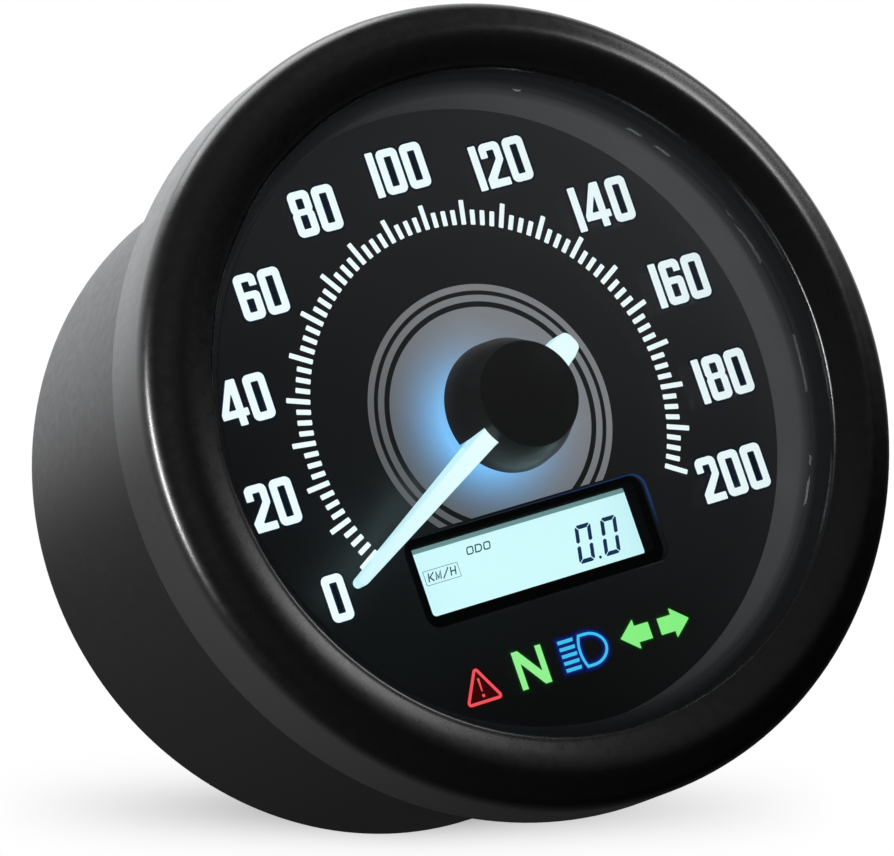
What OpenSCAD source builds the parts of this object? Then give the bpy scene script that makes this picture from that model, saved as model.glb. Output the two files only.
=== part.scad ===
// Round motorcycle speedometer: a shallow metal case with a rolled bezel, a domed lens,
// a needle on a stepper movement, a small odometer window and a row of tell-tales.
//
// Every module below draws in the gauge's own frame: +Z out through the dial and z = 0 on
// the back face. upright() then stands the gauge up, so that the finished part faces -Y.

/* [Bezel ring] */
// Outside diameter of the bezel ring
bezel_d = 80; // [78:0.5:84]
// Height of the rounded crest of the ring above the dial
crest_h = 9.7; // [9.4:0.1:10.4]
// Height of the ring's inner lip above the dial
lip_h = 8.9; // [8.7:0.1:9.1]
// Rounding between the front of the ring and its side
corner_r = 2; // [1.5:0.1:2.4]
// Height of the ring's rear edge above the dial
seam_h = 0.8; // [0.4:0.05:1.2]

/* [Case] */
// Depth of the case from the dial to the back face
case_depth = 35.6; // [34.5:0.1:38]
// Diameter of the case just behind the bezel ring
case_front_d = 73.2; // [72.6:0.1:74]
// Diameter of the case where its rear rounding starts
case_rear_d = 71; // [70:0.1:72]
// Radius of the rounding around the back
rear_round = 3; // [2:0.1:3.4]
// Wall thickness of the case
wall = 1.8; // [1.5:0.1:2]
// Diameter of the rear cover
cover_d = 60; // [59:0.5:61]

/* [Dial] */
// Thickness of the dial plate
dial_t = 1; // [0.8:0.1:1.2]
// Clear diameter inside the trim ring
trim_d = 62.8; // [61:0.2:64]
// Height of the dial centre above the case centre
dial_rise = 0.4; // [0:0.1:0.6]
// Width of the odometer window
window_w = 27.9; // [26:0.1:29]
// Height of the odometer window
window_h = 9.1; // [8.5:0.1:9.5]
// Distance of the window's centre below the dial centre
window_drop = 13.95; // [13.8:0.05:14.2]
// Depth of the display glass below the dial's face
display_depth = 3.2; // [2.8:0.1:3.4]

/* [Needle] */
// Length of the needle from its axis to the tip
needle_len = 25.2; // [20:0.1:27]
// Length of the needle's tail
tail_len = 8.3; // [6.5:0.1:9]
// Needle's angle at zero speed, in degrees counter-clockwise from three o'clock
zero_angle = 210; // [180:5:225]
// Height of the hub cap's top above the dial
cap_top = 8.9; // [8.5:0.1:9]
// Diameter of the hub cap at its top
cap_top_d = 10.6; // [10:0.1:11]
// Diameter of the hub cap at its base
cap_base_d = 13.2; // [13:0.1:14]

/* [Movement] */
// Teeth on each pinion
pinion_teeth = 12; // [12:1:14]
// Teeth on the output wheel
output_teeth = 60; // [60:1:62]
// Teeth on the intermediate wheel
middle_teeth = 48; // [46:1:48]
// Tooth module of the output stage
output_module = 0.3; // [0.28:0.01:0.3]
// Tooth module of the rotor stage
rotor_module = 0.25; // [0.23:0.01:0.25]
// Radial clearance of every turning pivot
pivot_gap = 0.04; // [0.02:0.01:0.08]

/* [Fixings and inlets] */
// Distance between the two mounting studs
stud_pitch = 30; // [28:1:34]
// Diameter of a mounting stud
stud_d = 5; // [5:1:6]
// Length of a stud behind the back face
stud_len = 12; // [10:1:20]
// Bore of the cable grommet
cable_d = 6; // [4:0.5:7]
// Travel of the mode button
button_travel = 0.8; // [0.4:0.1:1]

/* [Hidden] */
$fn = 96;
GAP = 0.05;      // between parts that only rest on each other
CLEAR = 0.01;    // radial clearance of a part fixed on a shaft
EPS = 0.2;       // overshoot of a cutting tool

bezel_r = bezel_d / 2;
case_r = bezel_r - 1.1;    // the case's front flange, inside the bezel ring
case_front_r = case_front_d / 2;
case_rear_r = case_rear_d / 2;
flange_h = seam_h + 0.95;  // rear face of that flange, which the bezel ring is rolled over
dial_z = case_depth;
plate_r = case_r - 4.5;
trim_r = trim_d / 2;
cover_r = cover_d / 2;
lens_top = lip_h - 0.85;
lens_edge_t = 1.7;
lens_bottom = lens_top - lens_edge_t;
lens_r = case_r - 2.1;
dome_r = bezel_r - 7.2;
dome_rise = 3;
dome_out = (dome_r * dome_r + dome_rise * dome_rise) / (2 * dome_rise);
lens_t = 1.4;

lid_t = 2;            // rear cover
ledge_z = 2.1;        // the ledge that it sits on
ledge_t = 2.6;
ledge_r = cover_r - 3.6;
cover_screw_r = ledge_r - 1;
post_r = ledge_r + 1.7;
post_angles = [20, 160, 200, 340];
screw_r = 1.28;
pilot_r = 1.3;

board_front = -7.8;   // heights below are measured from the dial's face
board_t = 1.6;
board_back = board_front - board_t;
board_r = case_r - 5.9;
box_floor = -5.4;
guide_back = -3.3;
stack_front = -dial_t - GAP;
window_round = 1.5;
frame_w = window_w - 2.3;
frame_h = window_h - 2;
display_w = window_w + 2.6;
display_h = window_h + 2.2;

telltale_x = [-10.85, -4.9, 1.15, 7.15, 11.6];
telltale_w = [4.9, 4.2, 5.8, 3.9, 3.9];
telltale_y = -24.65;
telltale_h = 4.8;
dial_lamp_angles = [15, 60, 120, 165, 195, 215, 325, 345];
dial_lamp_r = 24;
hub_lamp_r = 7.2;

motor_back = -20.2;
motor_front = board_back - 0.1;
motor_split = -14.6;
motor_wall = 1.2;
motor_w = 27;
motor_h = 31;
motor_y = 4.5;
shaft_r = 0.75;
arbor_r = 0.4;
middle_angle = 110;
rotor_angle = 20;
middle_gap = output_module * (output_teeth + pinion_teeth) / 2;
rotor_gap = rotor_module * (middle_teeth + pinion_teeth) / 2;
middle_at = middle_gap * [cos(middle_angle), sin(middle_angle)];
rotor_at = middle_at + rotor_gap * [cos(rotor_angle), sin(rotor_angle)];
output_level = -13.3;
middle_level = -15;
floor_z = motor_back + 1;
roof_z = motor_front - 1;

needle_root_h = 7.55; // top of the needle at its hub
needle_tip_h = 5.1;
needle_root_w = 1.9;
needle_tip_w = 1;
root_s = 5.4;         // where the needle leaves the cap and starts to slope
blade_root_h = 4.35;  // underside of the needle there
blade_tip_h = 3.45;
tail_w = 2.9;
slot_w = needle_root_w + 0.1;
bush_r = 1.6;
needle_hub_r = 2.9;

grommet_y = -20;
button_at = [18.5, 9.5];
vent_at = [-18.5, 9.5];
button_r = 3;
rod_r = 1.5;
collar_r = 5;
neck_r = stud_d / 2 + 0.4;   // a stud's pressed neck, where it passes through the cover
switch_w = 6.2;
switch_h = 4;
plunger_r = 1.7;
plunger_out = 1.4;    // of the switch's plunger outside its case
plunger_in = 1.6;     // and inside it
button_in = -button_travel - 0.3;
button_out = -3.6;

// ---------------------------------------------------------------- shared shapes

// Stands the gauge up: the dial faces -Y and twelve o'clock is +Z.
module upright() {
    rotate([90, 0, 0]) children();
}

// Moves to the dial's centre, on its front face.
module at_dial() {
    translate([0, dial_rise, dial_z]) children();
}

// Moves to the case's axis, level with the dial's front face.
module at_case() {
    translate([0, 0, dial_z]) children();
}

// Points on an arc about c, from angle a to angle b.
function arc(c, r, a, b, steps = 8) =
    [for (i = [0:steps]) let (t = a + (b - a) * i / steps) c + r * [cos(t), sin(t)]];

// A flat ring or disc from height z0 to z1.
module tube(r_out, r_in, z0, z1) {
    difference() {
        translate([0, 0, z0]) cylinder(r = r_out, h = z1 - z0);
        if (r_in > 0) translate([0, 0, z0 - EPS]) cylinder(r = r_in, h = z1 - z0 + 2 * EPS);
    }
}

// A block with rounded corners, centred on at, from height z0 to z1.
module block(w, h, round_r, at, z0, z1) {
    inner_w = w - 2 * round_r;
    inner_h = h - 2 * round_r;
    translate([at[0], at[1], z0]) {
        translate([-w / 2, -inner_h / 2, 0]) cube([w, inner_h, z1 - z0]);
        translate([-inner_w / 2, -h / 2, 0]) cube([inner_w, h, z1 - z0]);
        for (sx = [-1, 1], sy = [-1, 1])
            translate([sx * inner_w / 2, sy * inner_h / 2, 0])
                cylinder(r = round_r, h = z1 - z0, $fn = 32);
    }
}

// Children at each angle of a list, at radius r.
module around(r, angles) {
    for (a = angles) rotate([0, 0, a]) translate([r, 0, 0]) children();
}

// Polar angle reached by an involute of base circle rb at radius r.
function involute_angle(rb, r) =
    let (t = sqrt(max(pow(r / rb, 2) - 1, 0))) t * 180 / PI - atan(t);

// A spur gear with a tooth centred on +X, drawn from z = 0.
module spur_gear(teeth, m, addendum, height) {
    pitch_r = teeth * m / 2;
    rb = pitch_r * cos(20);
    root_r = pitch_r - 1.1 * m;
    tip_r = pitch_r + addendum * m;
    slack = 0.02 / pitch_r * 180 / PI;
    pitch_half = 90 / teeth - slack + involute_angle(rb, pitch_r);
    radii = [for (i = [0:4]) root_r + (tip_r - root_r) * i / 4];
    flank = [for (r = radii) [r, pitch_half - involute_angle(rb, r)]];
    outline = [for (i = [0:teeth - 1]) each concat(
        [for (k = [0:4]) let (a = 360 * i / teeth - flank[k][1])
            flank[k][0] * [cos(a), sin(a)]],
        [for (k = [4:-1:0]) let (a = 360 * i / teeth + flank[k][1])
            flank[k][0] * [cos(a), sin(a)]])];
    linear_extrude(height) polygon(outline);
}

// A countersunk screw whose head lies at z = 0 and whose shank runs to z = len.
module countersunk_screw(len) {
    difference() {
        union() {
            cylinder(r1 = 2.4, r2 = screw_r, h = 1.15);
            cylinder(r = screw_r, h = len);
        }
        translate([0, 0, -EPS]) for (a = [0, 90])
            rotate([0, 0, a]) translate([-1.4, -0.3, 0]) cube([2.8, 0.6, 0.6 + EPS]);
    }
}

// ---------------------------------------------------------------- case and glass

module bezel_ring() {
    crest_r = bezel_r - 3.55;
    lip_r = bezel_r - 7;
    corner_z = crest_h - 0.75 - corner_r;
    inner_r = case_r + 0.08;
    bead_r = case_front_r + 0.4;
    color("#1a1a1b") at_case() rotate_extrude() polygon(concat(
        [[bezel_r - 0.25, seam_h]],
        [[bezel_r, seam_h + 0.25]],
        arc([bezel_r - corner_r, corner_z], corner_r, 0, 68),
        [[crest_r + 0.75, crest_h - 0.06]],
        [[crest_r, crest_h]],
        [[lip_r + 0.5, lip_h + 0.12]],
        arc([lip_r + 0.4, lip_h - 0.3], 0.4, 90, 180, 4),
        [[lip_r, lip_h - 0.7]],
        [[inner_r - 0.1, lip_h - 0.7]],
        [[inner_r, lip_h - 0.8]],
        [[inner_r, flange_h - GAP]],
        [[bead_r + 0.2, flange_h - GAP]],
        [[bead_r, flange_h - 0.25]],
        [[bead_r, seam_h + 0.2]],
        [[bead_r + 0.2, seam_h]]));
}

module lens() {
    color("#dfe8ea", 0.25) at_case() union() {
        intersection() {
            translate([0, 0, lens_top + dome_rise - dome_out]) difference() {
                sphere(r = dome_out);
                sphere(r = dome_out - lens_t);
            }
            translate([0, 0, lens_top - lens_edge_t]) cylinder(r = dome_r, h = 8);
        }
        tube(lens_r, dome_r - 1.2, lens_bottom, lens_top);
    }
}

module lens_gasket() {
    color("#0e0e0e") at_case()
        tube(lens_r, case_r - wall - 1.9, lens_bottom - 1 - GAP, lens_bottom - GAP);
}

module trim_ring() {
    out_r = case_r - wall - 2.1;
    color("#2b2c2e") at_case() rotate_extrude() polygon([
        [trim_r, GAP],
        [out_r, GAP],
        [out_r, lens_bottom - 2 * GAP],
        [trim_r + 1.1, lens_bottom - 2 * GAP],
        [trim_r, 4.75]]);
}

module housing() {
    lean = atan2(case_front_r - case_rear_r, case_depth + flange_h - rear_round);
    round_c = [case_rear_r - rear_round * cos(lean), rear_round - dial_z];
    rim_h = lens_top;
    seat_h = lens_bottom - 1 - 2 * GAP;
    in_front = case_r - wall - 2;
    in_rear = case_rear_r - wall - 0.6;
    back = -dial_z;
    color("#2a2829") difference() {
        union() {
            at_case() rotate_extrude() polygon(concat(
                [[cover_r + 0.1, back]],
                arc(round_c, rear_round, -90, -lean),
                [[case_front_r, flange_h]],
                [[case_r, flange_h]],
                [[case_r, rim_h]],
                [[lens_r + 0.1, rim_h]],
                [[lens_r + 0.1, seat_h]],
                [[in_front, seat_h]],
                [[in_front, -3]],
                [[in_rear, back + 9]],
                [[cover_r - 1, back + ledge_z + ledge_t]],
                [[ledge_r, back + ledge_z + ledge_t]],
                [[ledge_r, back + ledge_z]],
                [[cover_r + 0.1, back + ledge_z]]));
            around(post_r, post_angles)
                translate([0, 0, ledge_z + 1])
                    cylinder(r = 2.6, h = dial_z + board_back - GAP - ledge_z - 1);
            around(cover_screw_r, [45:90:315])
                translate([0, 0, ledge_z]) cylinder(r = 2.8, h = 6);
        }
        translate([0, 0, ledge_z - EPS]) difference() {
            cylinder(r = cover_r - 0.6, h = 1 + EPS);
            translate([0, 0, -EPS]) cylinder(r = cover_r - 2, h = 2);
        }
        around(post_r, post_angles)
            translate([0, 0, dial_z + board_back - 7]) cylinder(r = pilot_r, h = 8);
        around(cover_screw_r, [45:90:315])
            translate([0, 0, ledge_z - EPS]) cylinder(r = pilot_r, h = 5.5 + EPS);
    }
}

// ---------------------------------------------------------------- dial and display

module window_hole(w, h, z0, z1, round_r = window_round) {
    block(w, h, round_r, [0, -window_drop], z0, z1);
}

module dial_plate() {
    color("#111213") at_dial() difference() {
        translate([0, -dial_rise, -dial_t]) cylinder(r = plate_r, h = dial_t);
        window_hole(window_w, window_h, -dial_t - EPS, EPS);
        translate([0, 0, -dial_t - EPS]) cylinder(r = 2.4, h = dial_t + 2 * EPS);
    }
}

module window_frame() {
    color("#0b0c0e") at_dial() difference() {
        window_hole(window_w + 1.2, window_h + 1, -display_depth + GAP, stack_front);
        translate([0.25, 0.3, 0])
            window_hole(frame_w, frame_h, -display_depth - EPS, 0, 0.4);
    }
}

module display_panel() {
    color("#d5e6e8") at_dial()
        window_hole(display_w, display_h, -display_depth - 2.2, -display_depth, 0.3);
}

module display_backlight() {
    color("#eef6f8") at_dial()
        window_hole(display_w - 1, display_h - 1, board_front + GAP, -display_depth - 2.25, 0.3);
}

module display_holder() {
    color("#e9e9e4") at_dial() difference() {
        window_hole(display_w + 2, display_h + 2, board_front + GAP, -display_depth, 0.8);
        window_hole(display_w + 0.1, display_h + 0.1, board_front - EPS, EPS, 0.3);
    }
}

module light_guide() {
    color("#dcecf2", 0.6) at_dial() difference() {
        translate([0, -dial_rise, 0]) tube(trim_r - 1, 0, guide_back, stack_front);
        window_hole(display_w + 2.2, display_h + 2.2, -9, EPS, 0.8);
        translate([0, 0, -9]) cylinder(r = 3.4, h = 10);
        translate([-40, -60 - 20.9, -9]) cube([80, 60, 10]);
    }
}

module light_box() {
    color("#f1f1ee") at_dial() difference() {
        union() {
            translate([0, -dial_rise, 0]) tube(plate_r, trim_r - 0.9, board_front + GAP, stack_front);
            translate([0, -dial_rise, 0]) tube(trim_r - 0.7, 0, box_floor, guide_back - GAP);
        }
        window_hole(display_w + 2.2, display_h + 2.2, -9, EPS, 0.8);
        translate([0, 0, -9]) cylinder(r = 3.4, h = 10);
        around(dial_lamp_r, dial_lamp_angles) translate([0, 0, -9]) cylinder(r = 2.4, h = 8);
        around(hub_lamp_r, [30:60:150]) translate([0, 0, -9]) cylinder(r = 1.8, h = 8);
        translate([0.6, telltale_y, -9 - stack_front]) block(30.4, 6.6, 0.4, [0, 0], 0, 12);
    }
}

module telltale_block() {
    color("#101112") at_dial() difference() {
        block(30, 6.2, 0.4, [0.6, telltale_y], board_front + GAP, stack_front);
        for (i = [0:4])
            block(telltale_w[i], telltale_h, 0.4, [telltale_x[i], telltale_y], -9, EPS);
    }
}

// A surface-mount lamp: a body with a small lens on it.
module lamp(w) {
    translate([-w / 2, -w / 2, 0]) cube([w, w, 0.9]);
    cylinder(r = w * 0.36, h = 1.3, $fn = 32);
}

module indicator_lamps() {
    color("#f4f0d8") at_dial() for (x = telltale_x)
        translate([x, telltale_y, board_front + GAP]) lamp(2);
}

module dial_lamps() {
    color("#f2f4ff") at_dial() translate([0, 0, board_front + GAP]) {
        around(dial_lamp_r, dial_lamp_angles) lamp(2.2);
        around(hub_lamp_r, [30:60:150]) lamp(1.8);
    }
}

// ---------------------------------------------------------------- electronics

module circuit_board() {
    color("#14502f") at_dial() difference() {
        translate([0, -dial_rise, board_back]) cylinder(r = board_r, h = board_t);
        translate([0, 0, board_back - EPS]) cylinder(r = 2.5, h = board_t + 2 * EPS);
        translate([0, -dial_rise, board_back - EPS]) around(post_r, post_angles)
            cylinder(r = 1.5, h = board_t + 2 * EPS);
        motor_pins() translate([0, 0, board_back - EPS])
            cylinder(r = 0.45, h = board_t + 2 * EPS, $fn = 32);
    }
}

module board_screws() {
    head_z = board_front + GAP;
    color("#c9ccd0") at_case() around(post_r, post_angles) difference() {
        union() {
            translate([0, 0, head_z]) cylinder(r = 2.1, h = 1.3);
            translate([0, 0, board_back - 5]) cylinder(r = screw_r, h = head_z - board_back + 5.2);
        }
        translate([0, 0, head_z + 0.6]) for (a = [0, 90])
            rotate([0, 0, a]) translate([-1.3, -0.3, 0]) cube([2.6, 0.6, 1]);
    }
}

module processor_chip() {
    size = 8;
    at = [-19.5, 1];
    color("#17181a") at_dial() translate([at[0], at[1], board_back - GAP]) {
        translate([-size / 2, -size / 2, -1.4]) cube([size, size, 1.4]);
        for (a = [0:90:270], k = [-3:3]) rotate([0, 0, a])
            translate([size / 2 - 0.1, k - 0.2, -0.7]) cube([1.1, 0.4, 0.6]);
    }
}

module capacitors() {
    color("#3a3f46") at_dial() for (p = [[20, -12], [14, -19]])
        translate([p[0], p[1], board_back - GAP - 8.2]) {
            cylinder(r = 3.15, h = 8);
            translate([-3.3, -3.3, 7.6]) cube([6.6, 6.6, 0.6]);
        }
}

module wire_socket() {
    color("#ece7d6") at_dial() translate([-2, -21.5, board_back - GAP]) difference() {
        translate([-8, -3, -6.5]) cube([16, 6, 6.5]);
        translate([-7.2, -2.2, -6.5 - EPS]) cube([14.4, 4.4, 5]);
    }
}

module tact_switch() {
    color("#222326") at_dial() translate([button_at[0], button_at[1], board_back - GAP]) difference() {
        translate([-switch_w / 2, -switch_w / 2, -switch_h]) cube([switch_w, switch_w, switch_h]);
        translate([0, 0, -switch_h - EPS])
            cylinder(r = plunger_r + 0.1, h = plunger_in + button_travel + 0.3 + EPS);
    }
}

module switch_plunger() {
    color("#b8482e") at_dial() translate([button_at[0], button_at[1], board_back - GAP - switch_h])
        translate([0, 0, -plunger_out]) cylinder(r = plunger_r, h = plunger_out + plunger_in);
}

// ---------------------------------------------------------------- movement

// Children at each of the motor's four terminals.
module motor_pins() {
    for (sx = [-1, 1], y = [-7, 14]) translate([sx * 10.5, y, 0]) children();
}

// Moves to the intermediate wheel's axis.
module at_middle() {
    translate([middle_at[0], middle_at[1], 0]) children();
}

// Moves to the rotor's axis.
module at_rotor() {
    translate([rotor_at[0], rotor_at[1], 0]) children();
}

// The blind bore of an arbor, from height z0 to z1.
module arbor_bore(r, z0, z1) {
    translate([0, 0, z0]) cylinder(r = r + pivot_gap, h = z1 - z0);
}

module motor_shell(z0, z1, hollow0, hollow1) {
    inner = motor_wall;
    difference() {
        block(motor_w, motor_h, 3, [0, motor_y], z0, z1);
        block(motor_w - 2 * inner, motor_h - 2 * inner, 1.8, [0, motor_y], hollow0, hollow1);
    }
}

module motor_case() {
    color("#d8d8d2") at_dial() difference() {
        union() {
            motor_shell(motor_back, motor_split, floor_z, motor_split + EPS);
            translate([0, 0, floor_z - EPS]) {
                cylinder(r = 1.6, h = 0.8);
                at_middle() cylinder(r = 1.2, h = 0.8);
                at_rotor() cylinder(r = 1.2, h = 0.8);
            }
        }
        arbor_bore(shaft_r, motor_back + 0.4, floor_z + 1);
        at_middle() arbor_bore(arbor_r, motor_back + 0.4, floor_z + 1);
        at_rotor() arbor_bore(arbor_r, motor_back + 0.4, floor_z + 1);
    }
}

module motor_cover() {
    color("#c9c9c2") at_dial() difference() {
        union() {
            motor_shell(motor_split + GAP, motor_front, motor_split - EPS, roof_z);
            translate([0, 0, roof_z]) cylinder(r = 2.1, h = 7.2);
            translate([0, 0, roof_z - 0.8]) {
                cylinder(r = 1.8, h = 1);
                at_middle() cylinder(r = 1.2, h = 1);
                at_rotor() cylinder(r = 1.2, h = 1);
            }
        }
        arbor_bore(shaft_r, roof_z - 1.5, roof_z + 9);
        at_middle() arbor_bore(arbor_r, roof_z - 1.5, motor_front - 0.4);
        at_rotor() arbor_bore(arbor_r, roof_z - 1.5, motor_front - 0.4);
        motor_pins() translate([0, 0, roof_z - 1]) cylinder(r = 0.35, h = 3, $fn = 32);
    }
}

module motor_stator() {
    z0 = -17.1;
    color("#8f9296") at_dial() difference() {
        translate([0, 0, z0]) linear_extrude(1)
            polygon([[-11.7, -6], [-10.3, -6], [-10.3, 15.6], [10.3, 15.6], [10.3, -6],
                [11.7, -6], [11.7, 17.2], [-11.7, 17.2]]);
        at_rotor() translate([0, 0, z0 - EPS]) cylinder(r = 3.4, h = 2);
    }
}

module motor_coils() {
    color("#b0622c") at_dial() for (sx = [-1, 1])
        translate([sx * 11, 4, -16.6]) rotate([90, 0, 0]) difference() {
            cylinder(r = 1.25, h = 9);
            translate([0, 0, -EPS]) cylinder(r = 1, h = 9 + 2 * EPS);
        }
}

module motor_terminals() {
    color("#d9c27a") at_dial() motor_pins()
        translate([0, 0, roof_z - 2]) cylinder(r = 0.3, h = board_front - roof_z + 2.6, $fn = 32);
}

module rotor() {
    color("#3b3b40") at_dial() at_rotor() {
        translate([0, 0, motor_back + 0.5])
            cylinder(r = arbor_r, h = motor_front - motor_back - 1);
        translate([0, 0, -18.2]) cylinder(r = 2.9, h = 2.4);
        translate([0, 0, middle_level - 0.2]) rotate([0, 0, rotor_angle + 180 + 180 / pinion_teeth])
            spur_gear(pinion_teeth, rotor_module, 0.9, 1.4);
    }
}

module intermediate_wheel() {
    color("#e6e2d4") at_dial() at_middle() {
        translate([0, 0, motor_back + 0.5])
            cylinder(r = arbor_r, h = motor_front - motor_back - 1);
        translate([0, 0, middle_level]) rotate([0, 0, rotor_angle])
            spur_gear(middle_teeth, rotor_module, 0.75, 1);
        translate([0, 0, middle_level + 0.9]) rotate([0, 0, middle_angle + 180 + 180 / pinion_teeth])
            spur_gear(pinion_teeth, output_module, 0.9, 2.2);
    }
}

module output_shaft() {
    color("#c5c8cc") at_dial() translate([0, 0, motor_back + 0.5])
        cylinder(r = shaft_r, h = 7 - motor_back - 0.5);
}

module output_wheel() {
    color("#efece0") at_dial() difference() {
        union() {
            translate([0, 0, output_level]) rotate([0, 0, middle_angle])
                spur_gear(output_teeth, output_module, 0.75, 1.2);
            translate([0, 0, output_level - 0.4]) cylinder(r = 2, h = 2.2);
        }
        translate([0, 0, output_level - 1]) cylinder(r = shaft_r + CLEAR, h = 4);
    }
}

// ---------------------------------------------------------------- needle

module needle_bush() {
    color("#c9a24c") at_dial() tube(bush_r, shaft_r + CLEAR, 1, 7.9);
}

// The needle's outline seen from the front, pointing along +X.
module needle_plan() {
    tip_c = needle_len - needle_tip_w / 2;
    polygon(concat(
        [[-tail_len, -0.7], [-tail_len + 0.4, -1.1], [-root_s, -tail_w / 2], [0, -tail_w / 2]],
        [[2, -needle_root_w / 2], [root_s, -needle_root_w / 2]],
        arc([tip_c, 0], needle_tip_w / 2, -80, 80),
        [[root_s, needle_root_w / 2], [2, needle_root_w / 2]],
        [[0, tail_w / 2], [-root_s, tail_w / 2], [-tail_len + 0.4, 1.1], [-tail_len, 0.7]]));
}

// The needle's outline seen from the side: it slopes down to the scale.
module needle_side() {
    step_s = needle_hub_r + 0.2;
    polygon([[-tail_len - 1, needle_root_h], [root_s, needle_root_h],
        [needle_len, needle_tip_h], [needle_len, blade_tip_h], [root_s, blade_root_h],
        [step_s + 0.3, blade_root_h], [step_s, needle_root_h - 1.5],
        [-tail_len - 1, needle_root_h - 1.5]]);
}

module needle() {
    color("#f3fdff") at_dial() rotate([0, 0, zero_angle]) difference() {
        union() {
            intersection() {
                translate([0, 0, 2]) linear_extrude(8) needle_plan();
                rotate([90, 0, 0]) translate([0, 0, -5]) linear_extrude(10) needle_side();
            }
            translate([0, 0, needle_root_h - 1.7]) cylinder(r = needle_hub_r, h = 1.7);
        }
        translate([0, 0, 2]) cylinder(r = bush_r + CLEAR, h = 8);
    }
}

module needle_cap() {
    skin = 0.55;
    top_r = cap_top_d / 2;
    base_r = cap_base_d / 2;
    base_z = 3;
    shoulder_r = base_r - 0.2;
    shoulder_z = 5.3;
    rim_round = 0.4;
    color("#131314") at_dial() difference() {
        union() {
            rotate_extrude() polygon(concat(
                [[0, cap_top]],
                [[0, cap_top - skin]],
                [[top_r - skin - 0.1, cap_top - skin]],
                [[shoulder_r - skin, shoulder_z]],
                [[base_r - skin, base_z]],
                [[base_r, base_z]],
                [[shoulder_r, shoulder_z]],
                arc([top_r - rim_round, cap_top - rim_round], rim_round, 20, 90, 4)));
            tube(needle_hub_r + 0.9, needle_hub_r + CLEAR, needle_root_h - 1.4, cap_top - skin + 0.1);
        }
        rotate([0, 0, zero_angle]) {
            translate([0, -slot_w / 2, 0]) cube([10, slot_w, needle_root_h + GAP]);
            translate([-10, -tail_w / 2 - GAP, 0])
                cube([10, tail_w + 2 * GAP, needle_root_h + GAP]);
        }
    }
}

// ---------------------------------------------------------------- back of the gauge

module rear_cover() {
    color("#242425") difference() {
        cylinder(r = cover_r, h = lid_t);
        for (sx = [-1, 1]) translate([sx * stud_pitch / 2, 0, -EPS])
            cylinder(r = neck_r + CLEAR, h = lid_t + 2 * EPS);
        around(cover_screw_r, [45:90:315]) translate([0, 0, -EPS]) {
            cylinder(r = 1.45, h = lid_t + 2 * EPS);
            cylinder(r1 = 2.8, r2 = 1.45, h = 1.55);
        }
        translate([0, grommet_y, -EPS]) cylinder(r = 5, h = lid_t + 2 * EPS);
        translate([button_at[0], button_at[1] + dial_rise, -EPS])
            cylinder(r = collar_r - 1.5, h = lid_t + 2 * EPS);
        translate([vent_at[0], vent_at[1], -EPS]) cylinder(r = 2.2, h = lid_t + 2 * EPS);
    }
}

module cover_seal() {
    color("#0c0c0c") translate([0, 0, ledge_z + 0.5]) rotate_extrude()
        translate([cover_r - 1.3, 0]) circle(r = 0.5, $fn = 32);
}

module cover_screws() {
    color("#6f7276") around(cover_screw_r, [45:90:315])
        translate([0, 0, 0.1]) countersunk_screw(6.6);
}

module mounting_studs() {
    color("#b9bcc0") for (sx = [-1, 1]) translate([sx * stud_pitch / 2, 0, 0]) {
        translate([0, 0, lid_t + GAP]) cylinder(r = stud_d / 2 + 2, h = 1.6, $fn = 6);
        translate([0, 0, GAP]) cylinder(r = neck_r, h = lid_t + 0.2);
        translate([0, 0, -stud_len + 0.6]) cylinder(r = stud_d / 2, h = stud_len - 0.4);
        translate([0, 0, -stud_len]) cylinder(r1 = stud_d / 2 - 0.6, r2 = stud_d / 2, h = 0.6);
    }
}

module cable_grommet() {
    color("#151515") translate([0, grommet_y, 0]) difference() {
        union() {
            translate([0, 0, -1.4]) cylinder(r = 6.5, h = 1.4 - 0.01);
            translate([0, 0, -7]) cylinder(r1 = cable_d / 2 + 1.3, r2 = cable_d / 2 + 2, h = 5.7);
            translate([0, 0, -0.5]) cylinder(r = 4.95, h = lid_t + 0.6);
            translate([0, 0, lid_t + 0.05]) cylinder(r = 5.8, h = 1.2);
        }
        translate([0, 0, -7 - EPS]) cylinder(r = cable_d / 2, h = 12);
    }
}

module vent_plug() {
    color("#1b1b1c") translate([vent_at[0], vent_at[1], 0]) difference() {
        union() {
            translate([0, 0, -1.4]) cylinder(r = 3.4, h = 1.39);
            translate([0, 0, -0.5]) cylinder(r = 2.15, h = lid_t + 0.5);
        }
        translate([0, 0, -0.6]) cylinder(r = 1, h = lid_t + 1);
        for (a = [0:60:300]) rotate([0, 0, a])
            translate([2.5, 0, -1.4 - EPS]) cylinder(r = 0.35, h = 0.9, $fn = 24);
    }
}

// The button's stack stands on its own axis behind the tact switch.
module at_button() {
    translate([button_at[0], button_at[1] + dial_rise, 0]) children();
}

module button_collar() {
    color("#1c1d1f") at_button() difference() {
        union() {
            translate([0, 0, -2.4]) cylinder(r = collar_r, h = 2.39);
            translate([0, 0, -0.5]) cylinder(r = collar_r - 1.55, h = lid_t + 1.8);
        }
        translate([0, 0, -2.4 - EPS]) cylinder(r = button_r + 0.15, h = 2.6);
        translate([0, 0, -3]) cylinder(r = rod_r + 0.08, h = lid_t + 5);
    }
}

module mode_button() {
    color("#0f0f10") at_button() difference() {
        union() {
            translate([0, 0, button_out]) cylinder(r = button_r - 0.4, h = 0.5);
            translate([0, 0, button_out + 0.4]) cylinder(r = button_r, h = button_in - button_out - 0.4);
        }
        translate([0, 0, button_out + 1.4]) cylinder(r = rod_r + CLEAR, h = 2);
    }
}

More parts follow.
